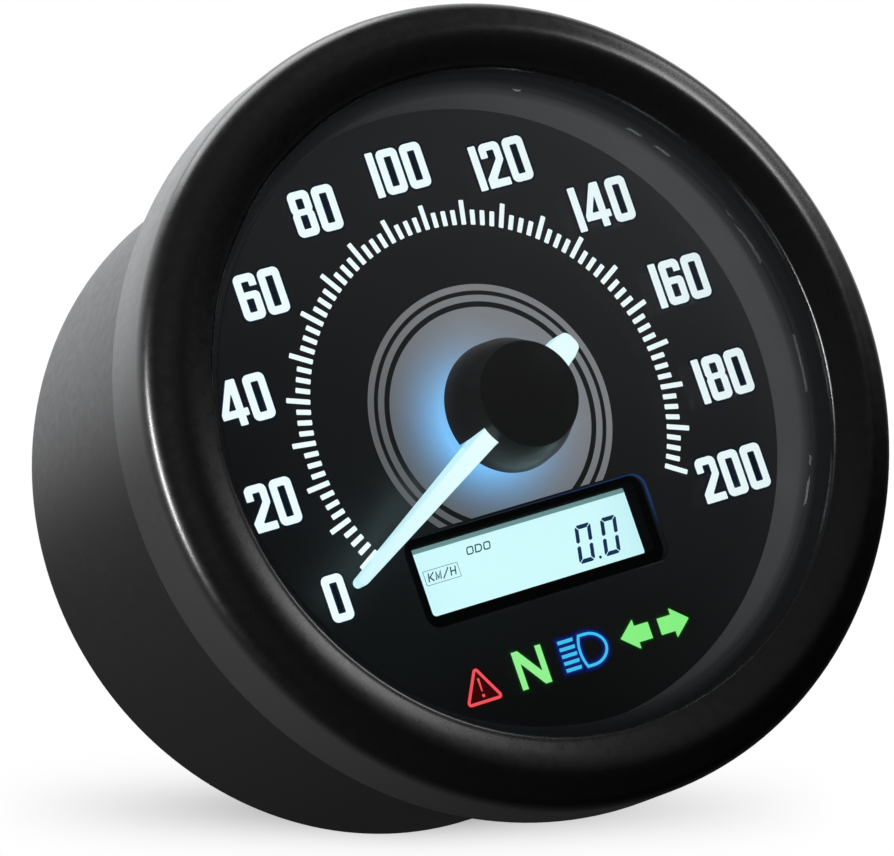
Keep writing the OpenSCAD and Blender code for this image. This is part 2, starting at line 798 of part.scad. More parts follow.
module button_rod() {
    rod_end = dial_z + board_back - GAP - switch_h - plunger_out - GAP;
    rod_start = button_out + 1.4 + GAP;
    color("#d2cfc4") at_button() {
        translate([0, 0, rod_start]) cylinder(r = rod_r, h = rod_end - rod_start);
        translate([0, 0, 4.8]) cylinder(r = rod_r + 0.9, h = 0.9);
    }
}

upright() bezel_ring();
upright() lens();
upright() lens_gasket();
upright() trim_ring();
upright() dial_plate();
upright() window_frame();
upright() display_panel();
upright() display_backlight();
upright() display_holder();
upright() light_guide();
upright() light_box();
upright() telltale_block();
upright() indicator_lamps();
upright() dial_lamps();
upright() circuit_board();
upright() board_screws();
upright() processor_chip();
upright() capacitors();
upright() wire_socket();
upright() tact_switch();
upright() switch_plunger();
upright() motor_case();
upright() motor_cover();
upright() motor_coils();
upright() motor_stator();
upright() motor_terminals();
upright() rotor();
upright() intermediate_wheel();
upright() output_shaft();
upright() output_wheel();
upright() needle_bush();
upright() needle();
upright() needle_cap();
upright() housing();
upright() rear_cover();
upright() cover_seal();
upright() cover_screws();
upright() mounting_studs();
upright() cable_grommet();
upright() vent_plug();
upright() mode_button();
upright() button_rod();
upright() button_collar();
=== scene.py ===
from math import acos, asin, atan2, cos, degrees, hypot, pi, radians, sin, sqrt, tan

import bmesh
import bpy
from mathutils import Matrix, Vector
from mathutils.geometry import tessellate_polygon


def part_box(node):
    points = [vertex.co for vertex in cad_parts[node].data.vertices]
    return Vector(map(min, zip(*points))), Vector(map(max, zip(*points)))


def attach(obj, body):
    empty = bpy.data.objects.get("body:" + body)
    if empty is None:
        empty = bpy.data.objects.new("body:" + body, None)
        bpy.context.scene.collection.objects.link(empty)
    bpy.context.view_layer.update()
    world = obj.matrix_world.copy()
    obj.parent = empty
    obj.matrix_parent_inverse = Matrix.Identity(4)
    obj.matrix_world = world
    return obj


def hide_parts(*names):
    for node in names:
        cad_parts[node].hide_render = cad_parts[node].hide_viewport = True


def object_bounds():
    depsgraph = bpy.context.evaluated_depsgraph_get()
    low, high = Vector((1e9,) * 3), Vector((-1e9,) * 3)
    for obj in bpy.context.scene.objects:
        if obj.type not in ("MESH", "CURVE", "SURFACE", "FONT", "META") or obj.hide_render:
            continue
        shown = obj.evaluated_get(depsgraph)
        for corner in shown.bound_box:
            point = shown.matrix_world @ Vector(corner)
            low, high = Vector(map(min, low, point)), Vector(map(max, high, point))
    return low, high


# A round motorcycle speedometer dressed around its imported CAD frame. The frame is in metres
# with the dial facing -Y. Sizes below are in millimetres, and most are given on the dial:
# x to the right, y to twelve o'clock and h, the height above the dial's face.

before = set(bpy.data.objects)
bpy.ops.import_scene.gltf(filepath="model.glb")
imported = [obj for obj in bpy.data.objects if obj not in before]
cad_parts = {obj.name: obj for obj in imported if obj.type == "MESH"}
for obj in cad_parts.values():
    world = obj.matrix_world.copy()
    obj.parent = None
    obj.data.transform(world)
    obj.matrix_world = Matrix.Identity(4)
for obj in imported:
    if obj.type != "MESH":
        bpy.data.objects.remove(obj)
cad_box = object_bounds()

MM = 0.001
ROUND = 192               # segments of a large turned piece
SMALL_ROUND = 64          # segments of a small one
SHARP = radians(32)       # edges sharper than this stay crisp


def middle(node):
    """The middle of a CAD node's box."""
    low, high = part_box(node)
    return (low + high) / 2


DIAL = Vector((middle("needle_bush").x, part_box("dial_plate")[0].y, middle("needle_bush").z))
CASE = Vector((0, DIAL.y, 0))
BACK = Vector((0, 0, 0))
BEZEL_R = (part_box("bezel_ring")[1].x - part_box("bezel_ring")[0].x) / 2 / MM
CASE_R = BEZEL_R - 1.1
DEPTH = -DIAL.y / MM      # from the dial to the back face
SEAM, FLANGE = 0.8, 1.75  # heights of the bezel's rear edge and of the case's flange
NEEDLE_ZERO = 210         # degrees counter-clockwise from three o'clock


def spot(x, y, h, origin=DIAL):
    """The row-frame place of a point given in millimetres on the dial."""
    return Vector((origin.x + x * MM, origin.y - h * MM, origin.z + y * MM))


def polar(r, angle):
    """The point x, y at a radius and an angle in degrees."""
    return r * cos(radians(angle)), r * sin(radians(angle))


def rotated(turn, x=0.0, y=0.0, origin=DIAL):
    """A spot function for shapes turned by an angle in degrees and moved to x, y."""
    c, s = polar(1, turn)
    return lambda u, v, h: spot(x + u * c - v * s, y + u * s + v * c, h, origin)


# ---------------------------------------------------------------- outlines

def arc(x, y, r, start, end, steps=8):
    """Points on an arc, by its centre, radius and end angles in degrees."""
    turns = [radians(start + (end - start) * i / steps) for i in range(steps + 1)]
    return [(x + r * cos(a), y + r * sin(a)) for a in turns]


def bezier(p0, p1, p2, p3, steps=10):
    """Points on a cubic curve, without its first."""
    points = []
    for i in range(1, steps + 1):
        t = i / steps
        s = 1 - t
        weights = (s ** 3, 3 * s * s * t, 3 * s * t * t, t ** 3)
        points.append(tuple(sum(w * p[k] for w, p in zip(weights, (p0, p1, p2, p3))) for k in (0, 1)))
    return points


def rounded(corners, steps=5):
    """An outline from corners (x, y, radius), with an arc at each."""
    outline = []
    for i, (x, y, r) in enumerate(corners):
        if r <= 0:
            outline.append((x, y))
            continue
        here = Vector((x, y))
        back = (Vector(corners[i - 1][:2]) - here).normalized()
        on = (Vector(corners[(i + 1) % len(corners)][:2]) - here).normalized()
        half = acos(max(-1, min(1, back.dot(on)))) / 2
        centre = here + (back + on).normalized() * (r / sin(half))
        first = here + back * (r / tan(half)) - centre
        last = here + on * (r / tan(half)) - centre
        a0 = atan2(first.y, first.x)
        turn = (atan2(last.y, last.x) - a0 + pi) % (2 * pi) - pi
        outline += arc(centre.x, centre.y, r, degrees(a0), degrees(a0 + turn), steps)
    return outline


def box_outline(x0, y0, x1, y1, r=0.0, steps=5):
    return rounded([(x0, y0, r), (x1, y0, r), (x1, y1, r), (x0, y1, r)], steps)


def circle(x, y, r, steps=48):
    return arc(x, y, r, 0, 360, steps)[:-1]


def area(outline):
    pairs = zip(outline, outline[1:] + outline[:1])
    return sum(a[0] * b[1] - b[0] * a[1] for a, b in pairs) / 2


def offset(outline, by, closed=True):
    """The points of an outline moved sideways, to the right of its direction."""
    moved = []
    last = len(outline) - 1
    for i, point in enumerate(outline):
        here = Vector(point)
        before = Vector(outline[i - 1]) if closed or i > 0 else None
        after = Vector(outline[(i + 1) % len(outline)]) if closed or i < last else None
        ways = []
        if before is not None and (here - before).length > 1e-9:
            ways.append((here - before).normalized())
        if after is not None and (after - here).length > 1e-9:
            ways.append((after - here).normalized())
        sides = [Vector((w.y, -w.x)) for w in ways]
        side = sum(sides, Vector((0, 0))).normalized()
        moved.append(tuple(here + side * (by / max(0.45, side.dot(sides[0])))))
    return moved


def ribbon(path, width, closed=False):
    """The shape of a line drawn along a path: a list of loops, the outer one first."""
    right = offset(path, width / 2, closed)
    left = offset(path, -width / 2, closed)
    if closed:
        return [right, left] if abs(area(right)) > abs(area(left)) else [left, right]
    return [right + left[::-1]]


def thinned(outline, gap):
    """An outline without the points that lie closer than gap to the one before."""
    kept = []
    for point in outline:
        if not kept or hypot(point[0] - kept[-1][0], point[1] - kept[-1][1]) > gap:
            kept.append(point)
    if hypot(kept[0][0] - kept[-1][0], kept[0][1] - kept[-1][1]) <= gap:
        kept.pop()
    return kept


def grown(shapes, by):
    """Shapes with every edge moved outward."""
    result = []
    for shape in shapes:
        loops = []
        for k, loop in enumerate(shape):
            outward = by if area(loop) > 0 else -by
            loops.append(offset(thinned(loop, min(by, 0.1)), outward if k == 0 else -outward))
        result.append(loops)
    return result


def placed(shapes, x=0.0, y=0.0, lean=0.0, size=1.0):
    """Shapes scaled, leant to the right and moved."""
    return [[[(x + size * (px + lean * py), y + size * py) for px, py in loop] for loop in shape]
            for shape in shapes]


# ---------------------------------------------------------------- meshes

def finish_mesh(name, mesh, material, sharp=SHARP):
    """Makes an object of a bmesh, with smooth faces between its crisp edges."""
    bmesh.ops.recalc_face_normals(mesh, faces=mesh.faces)
    data = bpy.data.meshes.new(name)
    mesh.to_mesh(data)
    mesh.free()
    data.shade_smooth()
    data.set_sharp_from_angle(angle=sharp)
    piece = bpy.data.objects.new(name, data)
    bpy.context.scene.collection.objects.link(piece)
    if material is not None:
        data.materials.append(material)
    return piece


def add_turned(mesh, outline, centre, segments, start=0.0):
    """Turns a closed outline of (radius, height) about the axis through centre."""
    rings = []
    for r, h in outline:
        if r < 1e-6:
            rings.append([mesh.verts.new(centre + Vector((0, -h * MM, 0)))])
            continue
        angles = [radians(start) + 2 * pi * i / segments for i in range(segments)]
        rings.append([mesh.verts.new(centre + Vector((r * cos(a), -h, r * sin(a))) * MM)
                      for a in angles])
    for low, high in zip(rings, rings[1:] + rings[:1]):
        if len(low) == 1 and len(high) == 1:
            continue
        for i in range(segments):
            j = (i + 1) % segments
            corners = [low[i % len(low)], low[j % len(low)], high[j % len(high)], high[i % len(high)]]
            unique = list(dict.fromkeys(corners))
            mesh.faces.new(unique)


def turned(name, outline, material, centre=CASE, segments=ROUND, sharp=SHARP):
    mesh = bmesh.new()
    add_turned(mesh, outline, centre, segments)
    return finish_mesh(name, mesh, material, sharp)


def add_slab(mesh, shape, low, high, place):
    """A flat solid between two heights, from an outer loop and its holes."""
    points = [p for loop in shape for p in loop]
    flat = [[Vector((p[0], p[1], 0)) for p in loop] for loop in shape]
    bottom = [mesh.verts.new(place(p[0], p[1], low)) for p in points]
    top = [mesh.verts.new(place(p[0], p[1], high)) for p in points]
    for triangle in tessellate_polygon(flat):
        mesh.faces.new([top[i] for i in triangle])
        mesh.faces.new([bottom[i] for i in reversed(triangle)])
    first = 0
    for loop in shape:
        for i in range(len(loop)):
            a, b = first + i, first + (i + 1) % len(loop)
            mesh.faces.new([bottom[a], bottom[b], top[b], top[a]])
        first += len(loop)


def slab(name, shapes, low, high, material, place=spot):
    """One piece made of flat solids, such as printed figures."""
    mesh = bmesh.new()
    for shape in shapes:
        add_slab(mesh, shape, low, high, place)
    return finish_mesh(name, mesh, material)


def add_tube(mesh, rings):
    """Joins rings that have the same number of points, and closes both ends."""
    for a, b in zip(rings, rings[1:]):
        for i in range(len(a)):
            j = (i + 1) % len(a)
            mesh.faces.new([a[i], a[j], b[j], b[i]])
    mesh.faces.new(rings[0])
    mesh.faces.new(rings[-1])


def carve(piece, *cutters):
    """Cuts tools out of a piece and removes them."""
    for tool in cutters:
        cut = piece.modifiers.new("cut", "BOOLEAN")
        cut.operation = "DIFFERENCE"
        cut.solver = "EXACT"
        cut.object = tool
    bake_down(piece)
    for tool in cutters:
        bpy.data.objects.remove(tool)
    piece.data.shade_smooth()
    piece.data.set_sharp_from_angle(angle=SHARP)


def bake_down(piece):
    """Applies a piece's modifiers."""
    graph = bpy.context.evaluated_depsgraph_get()
    data = bpy.data.meshes.new_from_object(piece.evaluated_get(graph))
    piece.modifiers.clear()
    piece.data = data


def wear(piece, body, slot, *nodes):
    """Fixes a piece to its body and hides the CAD nodes that it stands for. Its slot is not used."""
    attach(piece, body)
    if nodes:
        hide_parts(*nodes)
    return piece


# ---------------------------------------------------------------- materials

class Paint:
    """A material and short ways to add nodes to it."""

    def __init__(self, name):
        self.material = bpy.data.materials.new(name)
        self.material.use_nodes = True
        self.tree = self.material.node_tree
        self.tree.nodes.clear()
        self.out = self.add("ShaderNodeOutputMaterial")
        self.coords = self.add("ShaderNodeTexCoord").outputs["Object"]

    def add(self, kind, inputs=None, **settings):
        node = self.tree.nodes.new(kind)
        for key, value in settings.items():
            setattr(node, key, value)
        for key, value in (inputs or {}).items():
            self.feed(node.inputs[key], value)
        return node

    def feed(self, socket, value):
        if isinstance(value, bpy.types.NodeSocket):
            self.tree.links.new(value, socket)
        else:
            socket.default_value = value

    def noise(self, size, detail=3.0, vector=None):
        """Noise from 0 to 1 whose features are about size millimetres wide."""
        inputs = {"Vector": vector or self.coords, "Scale": 1 / (size * MM), "Detail": detail}
        return self.add("ShaderNodeTexNoise", inputs).outputs["Fac"]

    def cells(self, size, **settings):
        """The distance texture of cells about size millimetres wide."""
        inputs = {"Vector": self.coords, "Scale": 1 / (size * MM)}
        return self.add("ShaderNodeTexVoronoi", inputs, **settings).outputs["Distance"]

    def maths(self, operation, a, b=0.0, clamp=False):
        node = self.add("ShaderNodeMath", operation=operation, use_clamp=clamp)
        self.feed(node.inputs[0], a)
        self.feed(node.inputs[1], b)
        return node.outputs[0]

    def span(self, value, low, high, to_low, to_high, smooth=False):
        """Maps a value from one range to another, and clamps it."""
        node = self.add("ShaderNodeMapRange", clamp=True)
        if smooth:
            node.interpolation_type = "SMOOTHSTEP"
        for socket, v in zip(node.inputs, (value, low, high, to_low, to_high)):
            self.feed(socket, v)
        return node.outputs[0]

    def blend(self, share, a, b):
        """A colour between a and b."""
        node = self.add("ShaderNodeMix", data_type="RGBA")
        self.feed(node.inputs[0], share)
        self.feed(node.inputs[6], rgb(a) if isinstance(a, tuple) else a)
        self.feed(node.inputs[7], rgb(b) if isinstance(b, tuple) else b)
        return node.outputs[2]

    def gloss(self, size, low, high, detail=3.0):
        """A roughness that drifts between two values over patches of size millimetres."""
        return self.span(self.noise(size, detail), 0.3, 0.7, low, high)

    def vector(self, operation, a, b):
        node = self.add("ShaderNodeVectorMath", operation=operation)
        self.feed(node.inputs[0], a)
        self.feed(node.inputs["Scale" if operation == "SCALE" else 1], b)
        return node.outputs[0]

    def away(self, centre):
        """The distances from a fixed place along the three axes, in metres."""
        shift = self.vector("SUBTRACT", self.coords, centre)
        return self.add("ShaderNodeSeparateXYZ", {0: shift}).outputs

    def bump(self, height, depth, under=None):
        """A normal from a height of 0 to 1 that stands for depth millimetres."""
        inputs = {"Height": height, "Distance": depth * MM, "Strength": 1.0}
        if under is not None:
            inputs["Normal"] = under
        return self.add("ShaderNodeBump", inputs).outputs[0]

    def axial(self, centre=DIAL):
        """Radius about the gauge's axis and the angle round it, in millimetres and radians."""
        parts = self.away(centre)
        square = self.maths("ADD", self.maths("MULTIPLY", parts[0], parts[0]),
                            self.maths("MULTIPLY", parts[2], parts[2]))
        radius = self.maths("DIVIDE", self.maths("SQRT", square), MM)
        return radius, self.maths("ARCTAN2", parts[2], parts[0]), parts

    def surface(self, inputs, sampled=True):
        """Ends the material in one Principled shader. An unsampled glow isn't treated as a lamp."""
        shader = self.add("ShaderNodeBsdfPrincipled", inputs)
        self.tree.links.new(shader.outputs[0], self.out.inputs["Surface"])
        if not sampled:
            self.material.cycles.emission_sampling = "NONE"
        return self.material


def rgb(colour):
    """A colour with its alpha."""
    return (*colour[:3], 1.0)


def shaded(colour, factor):
    return tuple(c * factor for c in colour)


def coat(name, colour, rough, spread=0.05, mottle=0.2, patch=2.5, grain=0.12, depth=0.006, **extra):
    """A finish with drifting colour, uneven gloss and a fine grain with a softer swell under it."""
    p = Paint(name)
    drift = p.noise(patch, 4)
    speckle = p.noise(grain, 2)
    tone = p.blend(drift, shaded(colour, 1 - mottle), shaded(colour, 1 + mottle))
    tone = p.blend(p.span(speckle, 0.35, 0.75, 0.0, 0.3), tone, shaded(colour, 1 + 2 * mottle))
    gloss = p.gloss(patch * 0.4, rough - spread, rough + spread)
    swell = p.bump(p.noise(grain * 5, 2), depth * 0.6)
    inputs = {"Base Color": tone, "Roughness": gloss, "Normal": p.bump(speckle, depth, swell)}
    inputs.update(extra)
    return p.surface(inputs)


def machined(name, colour, rough, pitch=0.08, centre=BACK, depth=0.002):
    """Turned or drawn metal: fine lines that follow the lathe, with small stains."""
    p = Paint(name)
    radius, _, parts = p.axial(centre)
    line = p.add("ShaderNodeCombineXYZ", {0: radius, 1: p.maths("DIVIDE", parts[1], MM)}).outputs[0]
    fine = {"Vector": line, "Scale": 1 / pitch, "Detail": 2.0}
    lines = p.add("ShaderNodeTexNoise", fine).outputs["Fac"]
    stain = p.noise(1.4, 5)
    tone = p.blend(stain, shaded(colour, 0.82), shaded(colour, 1.12))
    gloss = p.span(lines, 0.2, 0.8, rough - 0.08, rough + 0.1)
    inputs = {"Base Color": tone, "Roughness": gloss, "Metallic": 1.0, "Normal": p.bump(lines, depth)}
    return p.surface(inputs)


def lit(name, colour, strength, patch=1.2, edge=0.93):
    """Ink or plastic lit from behind, a little uneven as a light guide leaves it."""
    p = Paint(name)
    uneven = p.noise(patch, 2)
    glow = p.blend(uneven, shaded(colour, edge), colour)
    inputs = {"Base Color": rgb(shaded(colour, 0.12)), "Roughness": p.gloss(0.05, 0.4, 0.6, 1),
              "Emission Color": glow, "Emission Strength": strength}
    return p.surface(inputs, sampled=False)


def glass_material(name):
    """Clear lens: it lets the dial through and mirrors by Fresnel, with faint smears."""
    p = Paint(name)
    smear = p.span(p.noise(9, 4), 0.35, 0.7, 0.012, 0.05)
    clear = p.add("ShaderNodeBsdfTransparent", {"Color": rgb((0.985, 0.99, 0.99))})
    mirror = p.add("ShaderNodeBsdfAnisotropic", {"Color": rgb((0.9, 0.93, 0.96)), "Roughness": smear})
    fresnel = p.add("ShaderNodeFresnel", {"IOR": 1.46})
    mix = p.add("ShaderNodeMixShader", {0: fresnel.outputs[0], 1: clear.outputs[0], 2: mirror.outputs[0]})
    p.tree.links.new(mix.outputs[0], p.out.inputs["Surface"])
    return p.material


def dial_material(name):
    """Silk-screened black: very dark, with a fine mesh of ink dots, and painted light: lighter and faintly
    glowing towards the upper right.
    """
    p = Paint(name)
    dots = p.cells(0.09)
    drift = p.noise(6, 3)
    parts = p.axial()[2]
    # Painted light: the black's colour and a faint glow both rise towards the upper right.
    painted_light_toward_upper_right = p.maths("ADD", parts[0], parts[2])
    share = p.span(painted_light_toward_upper_right, -30 * MM, 40 * MM, 0.0, 1.0)
    tone = p.blend(share, (0.0028, 0.0030, 0.0036), (0.0105, 0.0108, 0.0115))
    tone = p.blend(p.span(drift, 0.3, 0.7, 0.0, 0.25), tone, (0.0062, 0.0064, 0.0070))
    inputs = {"Base Color": tone, "Roughness": p.span(drift, 0.3, 0.7, 0.34, 0.46),
              "Specular IOR Level": 0.8, "Normal": p.bump(dots, 0.003),
              "Emission Color": p.blend(share, (0.0018, 0.0018, 0.0019), (0.0125, 0.0126, 0.0132)),
              "Emission Strength": 1.0}
    return p.surface(inputs)


DISC_GREY = (0.212, 0.220, 0.232)
HUB_BLUE = (0.10, 0.47, 0.95)


def disc_material(name):
    """Translucent grey ink: an even grey, and the hub's blue light spreading out from the cap."""
    p = Paint(name)
    radius, angle, _ = p.axial()
    toward = p.maths("COSINE", p.maths("SUBTRACT", angle, radians(NEEDLE_ZERO + 5)))
    share = p.span(toward, -1.0, 1.0, 0.12, 1.0)
    fall = p.maths("POWER", p.span(radius, 5.6, 12.2, 1.0, 0.0), 2.3)
    hub = p.maths("MULTIPLY", fall, share)
    fade = p.span(toward, -0.6, 1.0, 1.0, 0.52)
    grey = p.blend(p.noise(0.35, 2), shaded(DISC_GREY, 0.94), shaded(DISC_GREY, 1.06))
    glow = p.vector("ADD", p.vector("SCALE", grey, fade), p.vector("SCALE", HUB_BLUE, hub))
    inputs = {"Base Color": rgb((0.03, 0.03, 0.032)), "Roughness": p.gloss(0.08, 0.42, 0.6, 2),
              "Emission Color": glow, "Emission Strength": 1.0}
    return p.surface(inputs, sampled=False)


def display_material(name):
    """The lit field of the display: brightest in the middle, a little blue at its edges."""
    p = Paint(name)
    parts = p.away(spot(0, -WINDOW_DROP, 0))
    wide = p.maths("DIVIDE", p.maths("ABSOLUTE", parts[0]), WINDOW_W / 2 * MM)
    tall = p.maths("DIVIDE", p.maths("ABSOLUTE", parts[2]), WINDOW_H / 2 * MM)
    rim = p.maths("POWER", p.maths("MAXIMUM", wide, tall), 5.0)
    cells = p.cells(0.12)
    glow = p.blend(p.maths("MULTIPLY", rim, 0.6), (0.65, 0.98, 1.0), (0.47, 0.80, 0.88))
    glow = p.blend(p.span(cells, 0.0, 0.8, 0.0, 0.05), glow, (0.5, 0.85, 0.95))
    inputs = {"Base Color": rgb((0.1, 0.12, 0.12)), "Roughness": p.span(cells, 0.0, 0.8, 0.2, 0.35),
              "Emission Color": glow, "Emission Strength": 1.08}
    return p.surface(inputs)


def liner_material(name):
    """The cut edge of the dial plate round the display: blue light leaks out at its upper right."""
    p = Paint(name)
    parts = p.away(spot(0, -WINDOW_DROP, 0))
    across = p.span(parts[0], -WINDOW_W / 2 * MM, WINDOW_W / 2 * MM, 0.08, 1.0, smooth=True)
    upper = p.span(parts[2], -0.2 * WINDOW_H * MM, 0.3 * WINDOW_H * MM, 0.0, 1.0, smooth=True)
    share = p.maths("MULTIPLY", p.maths("MULTIPLY", across, across), upper)
    glow = p.blend(share, (0.0005, 0.001, 0.003), (0.006, 0.03, 0.14))
    inputs = {"Base Color": rgb((0.005, 0.006, 0.01)), "Roughness": p.gloss(0.5, 0.5, 0.7),
              "Emission Color": glow, "Emission Strength": 1.0}
    return p.surface(inputs)


def bezel_material(name):
    """Satin black metal: deep black on its face, with painted light on its side wall, which is coloured a
    lighter dark grey.
    """
    p = Paint(name)
    height = p.axial()[2][1]
    # Painted light: the side wall's colour is lifted to a dark grey, where it catches more light than the
    # face.
    wall = p.span(height, -8.4 * MM, -7.0 * MM, 0.0, 1.0, smooth=True)
    tone = p.blend(wall, (0.0042, 0.0042, 0.0043), (0.044, 0.0435, 0.044))
    speckle = p.noise(0.1, 2)
    tone = p.blend(p.span(speckle, 0.35, 0.75, 0.0, 0.2), tone, (0.02, 0.02, 0.02))
    gloss = p.gloss(1.0, 0.26, 0.31)
    inputs = {"Base Color": tone, "Roughness": gloss, "Specular IOR Level": 0.65,
              "Normal": p.bump(speckle, 0.004, p.bump(p.noise(0.5, 2), 0.0024))}
    return p.surface(inputs)


def trim_material(name):
    """Matt black ring that catches the dial's light, most of all at its right and top."""
    p = Paint(name)
    _, angle, parts = p.axial()
    toward = p.maths("COSINE", p.maths("SUBTRACT", angle, radians(8)))
    round_share = p.span(toward, -0.45, 0.95, 0.0, 1.0, smooth=True)
    below_flare = p.span(parts[1], -6.2 * MM, -4.8 * MM, 0.12, 1.0)
    share = p.maths("MULTIPLY", round_share, below_flare)
    speckle = p.noise(0.12, 2)
    tone = p.blend(speckle, (0.014, 0.014, 0.015), (0.019, 0.019, 0.020))
    glow = p.blend(share, (0.003, 0.003, 0.0034), (0.058, 0.060, 0.064))
    inputs = {"Base Color": tone, "Roughness": p.gloss(2.5, 0.76, 0.84, 4),
              "Specular IOR Level": 0.2, "Normal": p.bump(speckle, 0.003),
              "Emission Color": glow, "Emission Strength": 1.0}
    return p.surface(inputs)


def needle_material(name):
    """Lit acrylic: bright on top, dimmer on its side walls and towards the tail."""
    p = Paint(name)
    normal = p.add("ShaderNodeNewGeometry").outputs["Normal"]
    facing = p.add("ShaderNodeSeparateXYZ", {0: normal}).outputs[1]
    top = p.span(facing, -0.9, -0.3, 1.0, 0.0)
    radius, _, _ = p.axial()
    face = p.blend(p.span(radius, 6.0, 25.0, 0.0, 1.0), (0.80, 0.99, 1.0), (0.66, 0.93, 0.98))
    glow = p.blend(top, (0.58, 0.90, 0.97), face)
    inputs = {"Base Color": rgb((0.25, 0.28, 0.28)), "Roughness": p.gloss(0.6, 0.25, 0.4),
              "Emission Color": glow, "Emission Strength": 1.1, "Coat Weight": 0.3}
    return p.surface(inputs)


def board_material(name):
    """Green solder mask with copper tracks showing through it as paler lines."""
    p = Paint(name)
    grid = p.cells(3.2, distance="MANHATTAN", feature="DISTANCE_TO_EDGE")
    track = p.span(grid, 0.03, 0.06, 1.0, 0.0)
    tone = p.blend(track, (0.008, 0.09, 0.035), (0.02, 0.17, 0.06))
    tone = p.blend(p.span(p.noise(4), 0.4, 0.7, 0.0, 0.3), tone, (0.006, 0.06, 0.03))
    inputs = {"Base Color": tone, "Roughness": p.gloss(1, 0.2, 0.35),
              "Normal": p.bump(track, 0.03)}
    return p.surface(inputs)


def wound_material(name, colour, pitch=0.18):
    """Copper wire wound close along Z, with painted shade in the grooves between its turns."""
    p = Paint(name)
    height = p.add("ShaderNodeSeparateXYZ", {0: p.coords}).outputs[2]
    turn = p.maths("PINGPONG", p.maths("DIVIDE", height, pitch * MM), 0.5)
    # Painted shade: the colour darkens towards the grooves between turns.
    tone = p.blend(turn, shaded(colour, 0.6), shaded(colour, 1.3))
    inputs = {"Base Color": tone, "Metallic": 1.0, "Roughness": p.gloss(0.5, 0.22, 0.36),
              "Normal": p.bump(turn, 0.05)}
    return p.surface(inputs)


def clear_plastic(name, colour, rough, **extra):
    """Moulded light guide: glassy, with a slight milkiness."""
    p = Paint(name)
    cloud = p.noise(1.5, 3)
    inputs = {"Base Color": p.blend(cloud, shaded(colour, 0.9), colour), "IOR": 1.49,
              "Roughness": p.span(cloud, 0.3, 0.7, rough - 0.04, rough + 0.06)}
    inputs.update(extra)
    return p.surface(inputs)


WINDOW_W, WINDOW_H, WINDOW_DROP = 27.9, 9.1, 13.95
DISPLAY_DEPTH = 3.2

finishes = {
    "case_metal": coat("case_coat", (0.0150, 0.0143, 0.0146), 0.40, 0.03, 0.05, depth=0.002),
    "bezel_metal": bezel_material("bezel_coat"),
    "cover_metal": coat("cover_coat", (0.0130, 0.0130, 0.0134), 0.5, depth=0.006),
    "lens_glass": glass_material("lens_clear"),
    "rubber": coat("rubber_black", (0.010, 0.010, 0.010), 0.72, grain=0.2, depth=0.012),
    "black_plastic": coat("plastic_black", (0.008, 0.008, 0.009), 0.40, grain=0.15, depth=0.004),
    "window_plastic": coat("window_black", (0.006, 0.006, 0.007), 0.7, grain=0.15, depth=0.004,
                           **{"Specular IOR Level": 0.0}),
    "trim_plastic": trim_material("trim_black"),
    # Painted light: the cap's black carries a faint glow that lifts it.
    "cap_plastic": coat("cap_black_painted_glow", (0.0105, 0.0105, 0.0108), 0.36, grain=0.09, depth=0.0015,
                        **{"Specular IOR Level": 0.5, "Emission Color": rgb((0.0052, 0.0050, 0.0048)),
                           "Emission Strength": 1.0}),
    "dial_print": dial_material("dial_black_painted_light"),
    "display_glass": clear_plastic("display_pane", (0.55, 0.62, 0.62), 0.12),
    "backlight": lit("backlight_white", (0.7, 0.9, 1.0), 0.4),
    "white_plastic": coat("plastic_white", (0.72, 0.72, 0.70), 0.42, mottle=0.05),
    "guide_clear": clear_plastic("guide_plastic", (0.80, 0.90, 0.94), 0.16),
    "lamp": lit("lamp_phosphor", (0.95, 0.85, 0.45), 0.3),
    "board_green": board_material("solder_mask"),
    "chip_black": coat("chip_epoxy", (0.014, 0.014, 0.015), 0.62, grain=0.06),
    "can_grey": machined("can_aluminium", (0.45, 0.47, 0.50), 0.32),
    "socket_cream": coat("nylon_cream", (0.68, 0.63, 0.50), 0.45, mottle=0.05),
    "movement_plastic": coat("acetal_grey", (0.52, 0.52, 0.49), 0.48, mottle=0.05),
    "gear_plastic": coat("acetal_cream", (0.66, 0.62, 0.52), 0.38, mottle=0.05),
    "magnet": coat("ferrite", (0.035, 0.034, 0.036), 0.55, Metallic=0.3),
    "steel": machined("zinc_steel", (0.56, 0.57, 0.60), 0.28),
    "dark_steel": machined("black_zinc", (0.075, 0.078, 0.085), 0.36),
    "silicon_steel": machined("lamination", (0.30, 0.31, 0.33), 0.4),
    "brass": machined("brass", (0.66, 0.45, 0.14), 0.28),
    "copper": wound_material("copper_wire", (0.62, 0.26, 0.11)),
    "needle_lit": needle_material("needle_acrylic"),
    "plunger_red": coat("plunger", (0.42, 0.07, 0.025), 0.4, mottle=0.08),
}

NODE_SLOTS = {
    "rubber": ["lens_gasket", "cover_seal"],
    "dial_print": ["dial_plate"],
    "window_plastic": ["window_frame"],
    "black_plastic": ["telltale_block", "tact_switch"],
    "display_glass": ["display_panel"],
    "backlight": ["display_backlight"],
    "white_plastic": ["display_holder", "light_box", "button_rod"],
    "guide_clear": ["light_guide"],
    "lamp": ["indicator_lamps", "dial_lamps"],
    "board_green": ["circuit_board"],
    "chip_black": ["processor_chip"],
    "can_grey": ["capacitors"],
    "socket_cream": ["wire_socket"],
    "movement_plastic": ["motor_case", "motor_cover"],
    "gear_plastic": ["intermediate_wheel", "output_wheel"],
    "magnet": ["rotor"],
    "steel": ["output_shaft", "board_screws"],
    "silicon_steel": ["motor_stator"],
    "brass": ["needle_bush", "motor_terminals"],
    "copper": ["motor_coils"],
    "plunger_red": ["switch_plunger"],
}


